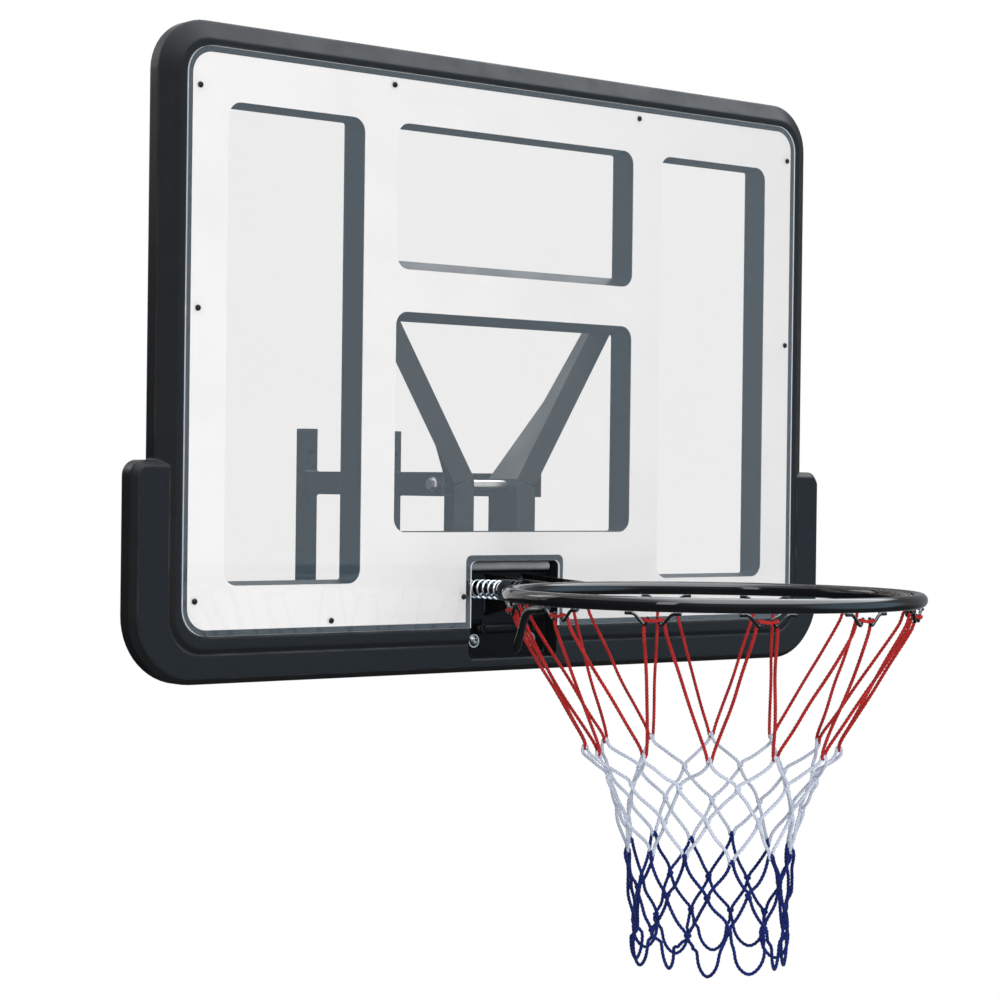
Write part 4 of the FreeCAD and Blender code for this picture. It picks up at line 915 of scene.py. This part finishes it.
def crossing(row, step, fall):
    """Where a cord passes a knot on its way down, or up with a fall of -1, beside the other cord."""
    angle_step, radius, drop = knots[row, step % HALF_LOOPS]
    return [net_spot(angle_step, radius + fall * CROSSING_OUT, drop + way * fall * CROSSING_FALL,
                     way * CROSSING_ASIDE) for way in (-1, 1)]


def bight(row, step, rise, width, depth=0.0):
    """A tight turn of cord at a knot, upward for a positive rise. Depth turns it out of the net."""
    angle_step, radius, drop = knots[row, step % HALF_LOOPS]
    return [net_spot(angle_step, radius + side * depth * reach, drop - rise * height, side * width * reach)
            for side, reach, height in BIGHT_TURN]


def turn_flat(x, y, angle):
    """A flat place turned round the middle."""
    return x * cos(angle) - y * sin(angle), x * sin(angle) + y * cos(angle)


def add_knot(shape, row, step, size):
    """A small pulled overhand knot, which is a trefoil line, facing out of the net."""
    angle_step, radius, drop = knots[row, step]
    centre = net_spot(angle_step, radius, drop)
    outward = (centre - RING_CENTRE) * Vector((1, 1, 0))
    outward.normalize()
    up = Vector((0, 0, 1))
    across = up.cross(outward)
    lean = stray(KNOT_LEAN)
    line = []
    for tick in range(KNOT_TICKS):
        t = 2 * pi * tick / KNOT_TICKS
        a, b = turn_flat(sin(t) + 2 * sin(2 * t), cos(t) - 2 * cos(2 * t), lean)
        line.append(centre + (across * a * 0.8 + up * b - outward * 1.6 * sin(3 * t)) * size * MM)
    sweep(shape, line, cord_section(0.8 * CORD_RADIUS, 9), closed=True)


def hang_cord(colour, routes, tied=(), upper_size=1.0, size=1.0):
    """Makes the piece of one colour: its cords, and the knots of the rows that it ties."""
    shape = bmesh.new()
    length = sum(add_cord(shape, route) for route in routes)
    for row, step in knots:
        if row in tied:
            add_knot(shape, row, step, upper_size if row == tied[0] else size)
    piece = finish_piece(shape, f"{colour}_net_cord", f"{colour}_cord", "rim")
    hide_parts(f"net_{colour}")
    print(f"{colour.capitalize()} cord: {length:.2f} m")


print("Ways of the cord ready")

# %% Red cord
# From the middle of a hook pair: sideways along the bar, outward from it, and drop, in millimetres
HOOK_TURN = [(2.5, 3.9, 17.2), (8.2, 3.8, 16.4), (10.0, 0.0, 15.2), (10.9, -3.9, 17.6),
             (11.8, -5.5, 25.0), (12.6, -9.0, 34.0)]
# Rise and half width of a turn that is pulled down, in millimetres
RED_TURN = (-3.0, 2.3)
RED_SLACK = 1.6
LEG_DOWN = (0.3, 0.55, 0.8)
LEG_UP = (0.2, 0.45, 0.7)


def red_route():
    route = []
    turn = [(-side, out, drop) for side, out, drop in reversed(HOOK_TURN)] + HOOK_TURN
    for loop in range(NET_LOOPS):
        middle = 2 * loop
        over = [net_spot(middle, RING_RADIUS / MM + out, drop, side) for side, out, drop in turn]
        low = bight(FIRST, middle + 1, *RED_TURN)
        side, out, drop = turn[0]
        high = net_spot(middle + 2, RING_RADIUS / MM + out, drop, side)
        route += over
        route += [slack(over[-1], low[0], share, RED_SLACK) for share in LEG_DOWN]
        route += low
        route += [slack(low[-1], high, share, RED_SLACK) for share in LEG_UP]
    return route


hang_cord("red", [red_route()])

# %% White cord
# Half loops from one upper turn of a cord to the next
RUN = 6
# Rise, half width and depth of an upper turn, and rise and half width of a lower one, in millimetres
UPPER_TURN = (3.0, 1.2, 2.2)
LOWER_TURN = (-3.0, 2.2)
WHITE_SLACK = 1.8


def zigzag(start, rows, bottom, loose):
    """The route of one cord that runs down through the rows and up again, four times round the net."""
    route = []
    inner_rows = list(enumerate(rows[1:-1], start=1))
    depth = len(rows) - 1
    for turn_step in range(start, start + HALF_LOOPS, RUN):
        stops = [bight(rows[0], turn_step, *UPPER_TURN)]
        stops += [crossing(row, turn_step + below, 1) for below, row in inner_rows]
        stops.append(bottom(rows[-1], turn_step + depth))
        stops += [crossing(row, turn_step + 2 * depth - below, -1) for below, row in reversed(inner_rows)]
        following_turn = bight(rows[0], turn_step + RUN, *UPPER_TURN)
        for stop, following in zip(stops, stops[1:] + [following_turn]):
            route += stop
            route += [slack(stop[-1], following[0], share, loose) for share in (0.3, 0.7)]
    return route


def pulled_bight(row, step):
    return bight(row, step, *LOWER_TURN)


white_rows = (FIRST, SECOND, THIRD, FOURTH)
white_routes = [zigzag(start, white_rows, pulled_bight, WHITE_SLACK) for start in range(1, RUN, 2)]
hang_cord("white", white_routes, white_rows[:-1], upper_size=0.9, size=1.05)

# %% Blue cord
# Least and most half width, and height, of the loose loops along the foot, in millimetres
LOOP_HALF = (14.0, 20.0)
LOOP_RISE = 44.0
LOOP_TURN = 0.6
LOOP_LEAN = 0.25
BLUE_SLACK = 2.6
# Across and up the loop, for one side of it
LOOP_SIDE = [(0.98, 0.56), (0.88, 0.27), (0.52, 0.04)]
LOOP_FOOT = (0.0, -0.08)


def foot_loop(row, step):
    """A loose loop that hangs at the foot of the net, turned one way or the other."""
    angle_step, radius, drop = knots[row, step % HALF_LOOPS]
    half = disorder.uniform(*LOOP_HALF)
    turn = stray(LOOP_TURN)
    lean = stray(LOOP_LEAN)
    outline = [(-x, y) for x, y in LOOP_SIDE] + [LOOP_FOOT] + LOOP_SIDE[::-1]
    return [net_spot(angle_step, radius + half * x * sin(turn), drop - LOOP_RISE * y,
                     half * (x * cos(turn) + lean * (LOOP_SIDE[0][1] - y))) for x, y in outline]


blue_rows = (FOURTH, FIFTH, SIXTH, FOOT)
blue_routes = [zigzag(start, blue_rows, foot_loop, BLUE_SLACK) for start in range(0, RUN, 2)]
hang_cord("blue", blue_routes, blue_rows[:-1], upper_size=0.9, size=1.2)

# %% [markdown]
# ## Springs
# Each spring is wound from round wire, with closed end coils that stand flat on what they press.
# A screw modifier would wind it with one even pitch, so the helix is a line whose pitch changes.

# %% Springs
SPRING_WIRE = 2.6
SPRING_TURNS = 5
CLOSED_TURNS = 0.6
CLOSED_PITCH = 1.08
STEPS_PER_TURN = 36


def spring_line(low, high, wire, hand):
    """The wire's centre line, from the washer at the front to the carrier; hand is its winding."""
    middle = (low + high) / 2
    radius = (high.x - low.x - wire) / 2
    turns = SPRING_TURNS + 2 * CLOSED_TURNS
    closed_rise = CLOSED_TURNS * wire * CLOSED_PITCH
    start, end = low.y + wire / 2, high.y - wire / 2
    stop_turns = (0, CLOSED_TURNS, turns - CLOSED_TURNS, turns)
    stop_places = (start, start + closed_rise, end - closed_rise, end)
    line = []
    for step in range(int(turns * STEPS_PER_TURN) + 1):
        turn = step / STEPS_PER_TURN
        angle = 2 * pi * turn
        line.append(Vector((middle.x + hand * radius * cos(angle), interp(turn, stop_turns, stop_places),
                            middle.z + radius * sin(angle))))
    return line, Vector((middle.x, low.y, middle.z))


for side, hand in (("left", -1), ("right", 1)):
    node = f"{side}_spring"
    low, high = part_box(node)
    wire = SPRING_WIRE * MM
    line, anchor = spring_line(low, high, wire, hand)
    coil = bmesh.new()
    sweep(coil, line, circle_section(wire / 2, 12))
    spring = finish_piece(coil, f"{side}_spring_coil", "zinc_steel", sharp=40)
    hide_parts(node)
    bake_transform(spring)

# %% [markdown]
# ## Sheet screws
# Small black screws hold the sheet to the panel. The solid has a plain round head; a real one is
# domed and has a cross recess. A boolean would leave slivers on a head seven millimetres wide, so
# the head is a round net of points, and those that lie inside the cross sink.

# %% Sheet screws
# Distance from the middle, and height, in millimetres, for the screws of one side
SHEET_SCREWS = [(471.5, 526), (471.5, 275), (471.5, -56), (198, 556), (282, -82), (83.5, -57.5)]
# Radius and height of the head's rings, in millimetres, from the recess outward
HEAD_PROFILE = [(0.9, 1.80), (1.4, 1.75), (1.9, 1.68), (2.2, 1.60), (2.8, 1.36), (3.3, 0.95), (3.5, 0.45),
                (3.5, 0.0)]
CROSS_REACH = 2.0
CROSS_HALF = 0.5
CROSS_DEPTH = 1.1
HEAD_SEGMENTS = 32
HEAD_TURN = 0.8
SHANK_RADIUS = 1.6
SHANK_STEPS = 40
THREAD_CREST = 1.09
THREAD_ROOT = 0.95
SCREW_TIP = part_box("sheet_screws")[1].y
SHEET_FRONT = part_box("clear_sheet")[0].y


def head_height(x, z, height):
    in_cross = hypot(x, z) < CROSS_REACH and min(abs(x), abs(z)) < CROSS_HALF
    return height - CROSS_DEPTH if in_cross else height


def add_sheet_screw(shape, x, z):
    middle = Vector((x * MM, SHEET_FRONT, z * MM))
    turn = stray(HEAD_TURN)
    centre = shape.verts.new(middle - Vector((0, head_height(0, 0, HEAD_PROFILE[0][1]) * MM, 0)))
    rings = []
    for radius, height in HEAD_PROFILE:
        ring = []
        for across, up in circle_section(radius, HEAD_SEGMENTS):
            a, b = turn_flat(across, up, turn)
            ring.append(shape.verts.new(middle + Vector((a, -head_height(across, up, height), b)) * MM))
        rings.append(ring)
    for side in range(HEAD_SEGMENTS):
        beside = (side + 1) % HEAD_SEGMENTS
        shape.faces.new((centre, rings[0][side], rings[0][beside]))
        for inner, outer in zip(rings, rings[1:]):
            shape.faces.new((inner[side], outer[side], outer[beside], inner[beside]))
    shape.faces.new(rings[-1])
    tip = Vector((x * MM, SCREW_TIP, z * MM))
    shank = [middle.lerp(tip, step / SHANK_STEPS) for step in range(SHANK_STEPS + 1)]
    sweep(shape, shank, circle_section(SHANK_RADIUS * MM, 10),
          swell=lambda share: THREAD_CREST if round(SHANK_STEPS * share) % 2 else THREAD_ROOT)


screws = bmesh.new()
for x, z in SHEET_SCREWS:
    for side in (-1, 1):
        add_sheet_screw(screws, side * x, z)
screw_piece = finish_piece(screws, "sheet_screw_set", "black_steel", "board", sharp=35)
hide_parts("sheet_screws")

# %% [markdown]
# ## Threads
# A bolt's thread is left off a solid, where it would cost thousands of faces. Only the free ends
# beyond the nuts show, so each gets a ridge wound round it, a few turns long.

# %% Threads
THREAD_PITCH = 1.25
THREAD_RADIUS = 3.85
THREAD_RIDGE = 0.42
THREAD_STEPS = 24
# Metres left bare beside the nut and at the end of the bolt
NUT_GAP = 0.0002
END_GAP = 0.0006


def taper(share, tip, pace):
    """Full thickness in the middle of a line, and less at both ends."""
    return min(1.0, tip + pace * share, tip + pace * (1 - share))


def add_thread(shape, place_on_axis, way, nut_face, bolt_end):
    """A ridge wound round a bolt that lies along X or Y, which is way 0 or 1, from its nut to its end."""
    start, end = place_on_axis.copy(), place_on_axis.copy()
    start[way], end[way] = nut_face, bolt_end
    axis = end - start
    first = axis.orthogonal().normalized()
    second = axis.normalized().cross(first)
    steps = max(8, round(axis.length / (THREAD_PITCH * MM) * THREAD_STEPS))
    line = []
    for step in range(steps + 1):
        angle = 2 * pi * step / THREAD_STEPS
        out = (first * cos(angle) + second * sin(angle)) * THREAD_RADIUS * MM
        line.append(start + axis * (step / steps) + out)
    sweep(shape, line, circle_section(THREAD_RIDGE * MM, 6),
          swell=lambda share: taper(share, tip=0.25, pace=8))


def middle_of(node):
    low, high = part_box(node)
    return (low + high) / 2


BASE_SCREW_X = 0.0455
spring_middle = middle_of("right_spring")
spring_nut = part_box("spring_nuts")[0].y - NUT_GAP
spring_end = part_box("spring_bolts")[0].y + END_GAP
base_z = middle_of("base_screws").z
base_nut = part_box("base_screw_nuts")[1].y + NUT_GAP
base_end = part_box("base_screws")[1].y - END_GAP
through_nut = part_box("through_bolt_nuts")[1].x + NUT_GAP
spring_threads = bmesh.new()
bright_threads = bmesh.new()
for side in (-1, 1):
    spring_axis = Vector((side * spring_middle.x, 0, spring_middle.z))
    add_thread(spring_threads, spring_axis, 1, spring_nut, spring_end)
    add_thread(bright_threads, Vector((side * BASE_SCREW_X, 0, base_z)), 1, base_nut, base_end)
for node in ("upper_through_bolt", "lower_through_bolt"):
    add_thread(bright_threads, middle_of(node), 0, through_nut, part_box(node)[1].x - END_GAP)
finish_piece(spring_threads, "spring_bolt_threads", "black_steel", "board")
finish_piece(bright_threads, "bright_bolt_threads", "zinc_steel", "board")

# %% [markdown]
# ## Weld seams
# The arms are welded to the uprights, the rim's gussets to its plates, the plates to the ring, and
# each net hook to the ring's underside. Solids meet there in a clean corner, which no painted
# steel has. A bead is a sweep whose thickness ripples, half sunk into the corner.

# %% Weld helper
# Length of a ripple in millimetres, its share of the thickness, and millimetres in a step of the mesh
RIPPLE = 2.4
RIPPLE_RISE = 0.13
BEAD_STEP = 0.6


def add_bead(shape, stops, radius, closed=False):
    """A weld bead through straight stops; it ripples, and tapers where it starts and ends."""
    line = []
    legs = list(zip(stops, stops[1:] + (stops[:1] if closed else [])))
    for here, there in legs:
        parts = max(2, round((there - here).length / (BEAD_STEP * MM)))
        line += [here.lerp(there, part / parts) for part in range(parts)]
    if not closed:
        line.append(stops[-1])
    length = sum((there - here).length for here, there in legs)
    ripples = max(1, round(length / (RIPPLE * MM)))
    phase = stray(1.0)

    def swell(share):
        ripple = 1 + RIPPLE_RISE * sin(2 * pi * ripples * share + phase)
        return ripple if closed else ripple * taper(share, tip=0.3, pace=12)

    sweep(shape, line, circle_section(radius * MM, 8), closed=closed, swell=swell)


print("Weld beads ripple every", RIPPLE, "mm")

# %% Rim welds
SEAM_INSET = 2 * MM
GUSSET_SEAM = 1.9
# Short seams along the neck, by their share of its length, and their radius in millimetres
NECK_STITCHES = [(0.06, 0.30), (0.40, 0.62), (0.72, 0.92)]
NECK_SEAM = 1.6
# Height, half angle and radius of the seams between neck and ring
RING_SEAM_HEIGHT = 3.0
RING_SEAM_ANGLE = radians(7.0)
RING_SEAM = 1.8
SEAM_SUNK = 0.6 * MM
ARC_STEPS = 12
carrier_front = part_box("left_gusset")[1].y
neck_low, neck_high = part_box("neck_plate")
neck_length = neck_high.y - neck_low.y
seam_reach = RING_RADIUS + RING_BAR / 2 - SEAM_SUNK
rim_welds = bmesh.new()
for gusset in ("left_gusset", "right_gusset"):
    low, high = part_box(gusset)
    for x in (low.x, high.x):
        add_bead(rim_welds, [Vector((x, carrier_front, z))
                             for z in (low.z + SEAM_INSET, high.z - SEAM_INSET)], GUSSET_SEAM)
    inner = min(low.x, high.x, key=abs)
    for z in (neck_low.z, neck_high.z):
        for front, back in NECK_STITCHES:
            add_bead(rim_welds, [Vector((inner, neck_high.y - share * neck_length, z))
                                 for share in (front, back)], NECK_SEAM)
for height in (-RING_SEAM_HEIGHT, RING_SEAM_HEIGHT):
    angles = [RING_SEAM_ANGLE * tick / ARC_STEPS for tick in range(-ARC_STEPS, ARC_STEPS + 1)]
    arc = [Vector((seam_reach * sin(angle), seam_reach * cos(angle), height * MM))
           for angle in angles]
    add_bead(rim_welds, [RING_CENTRE + spot for spot in arc], RING_SEAM)
finish_piece(rim_welds, "rim_weld_seams", "rim_paint", "rim")

# %% Hook welds
# Both ends of a hook's foot along the bar, its seams' distance from its middle, and their radius
HOOK_FOOT = (22.5, 30.5)
FOOT_BESIDE = 2.3
HOOK_SEAM = 1.2
FOOT_DROP = RING_BAR / MM / 2 + 0.9
hook_welds = bmesh.new()
for loop in range(NET_LOOPS):
    for side in (-1, 1):
        for out in (-FOOT_BESIDE, FOOT_BESIDE):
            # A straight foot leaves the round bar a little
            seam = [net_spot(2 * loop, RING_RADIUS / MM + out - reach ** 2 / (4 * RING_RADIUS / MM),
                             FOOT_DROP, side * reach) for reach in HOOK_FOOT]
            add_bead(hook_welds, seam, HOOK_SEAM)
finish_piece(hook_welds, "hook_weld_seams", "rim_paint", "rim")

# %% Bracket welds
ARM_SEAM = 1.9
bracket_welds = bmesh.new()
for arm in ("left_upper_arm", "left_lower_arm", "right_upper_arm", "right_lower_arm"):
    low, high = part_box(arm)
    corners = [(low.x, low.z), (high.x, low.z), (high.x, high.z), (low.x, high.z)]
    add_bead(bracket_welds, [Vector((x, high.y, z)) for x, z in corners], ARM_SEAM, closed=True)
finish_piece(bracket_welds, "bracket_weld_seams", "bracket_paint", "board")

# %% [markdown]
# ## Bent hook
# On the left the ring carries one longer hook, a tail of thick bar that bends back and hangs
# down. Its line is smooth, so it too is read from a NURBS spline, this time an open one.

# %% Bent hook
TAIL_STEP = 5.53
# Along the ring towards the board, and drop below the middle of its bar, in millimetres
TAIL_STOPS = [(-10, 9), (0, 12.5), (20, 12.5), (33, 17), (39, 32), (46, 48), (53, 63)]
TAIL_RADIUS = 4.4
TIP_START = 0.93
TIP_ROUND = 0.96


def tail_swell(share):
    """Full thickness up to a rounded tip."""
    tip = max(0.0, (share - TIP_START) / (1.0 - TIP_START))
    return sqrt(1.0 - TIP_ROUND * tip ** 2)


tail_route = [net_spot(TAIL_STEP, RING_RADIUS / MM, drop, -along) for along, drop in TAIL_STOPS]
tail = bmesh.new()
sweep(tail, settle(tail_route, closed=False), circle_section(TAIL_RADIUS * MM, 16),
      facing=Vector((0, 0, 1)), swell=tail_swell)
finish_piece(tail, "bent_hook", "rim_paint", "rim", sharp=60)
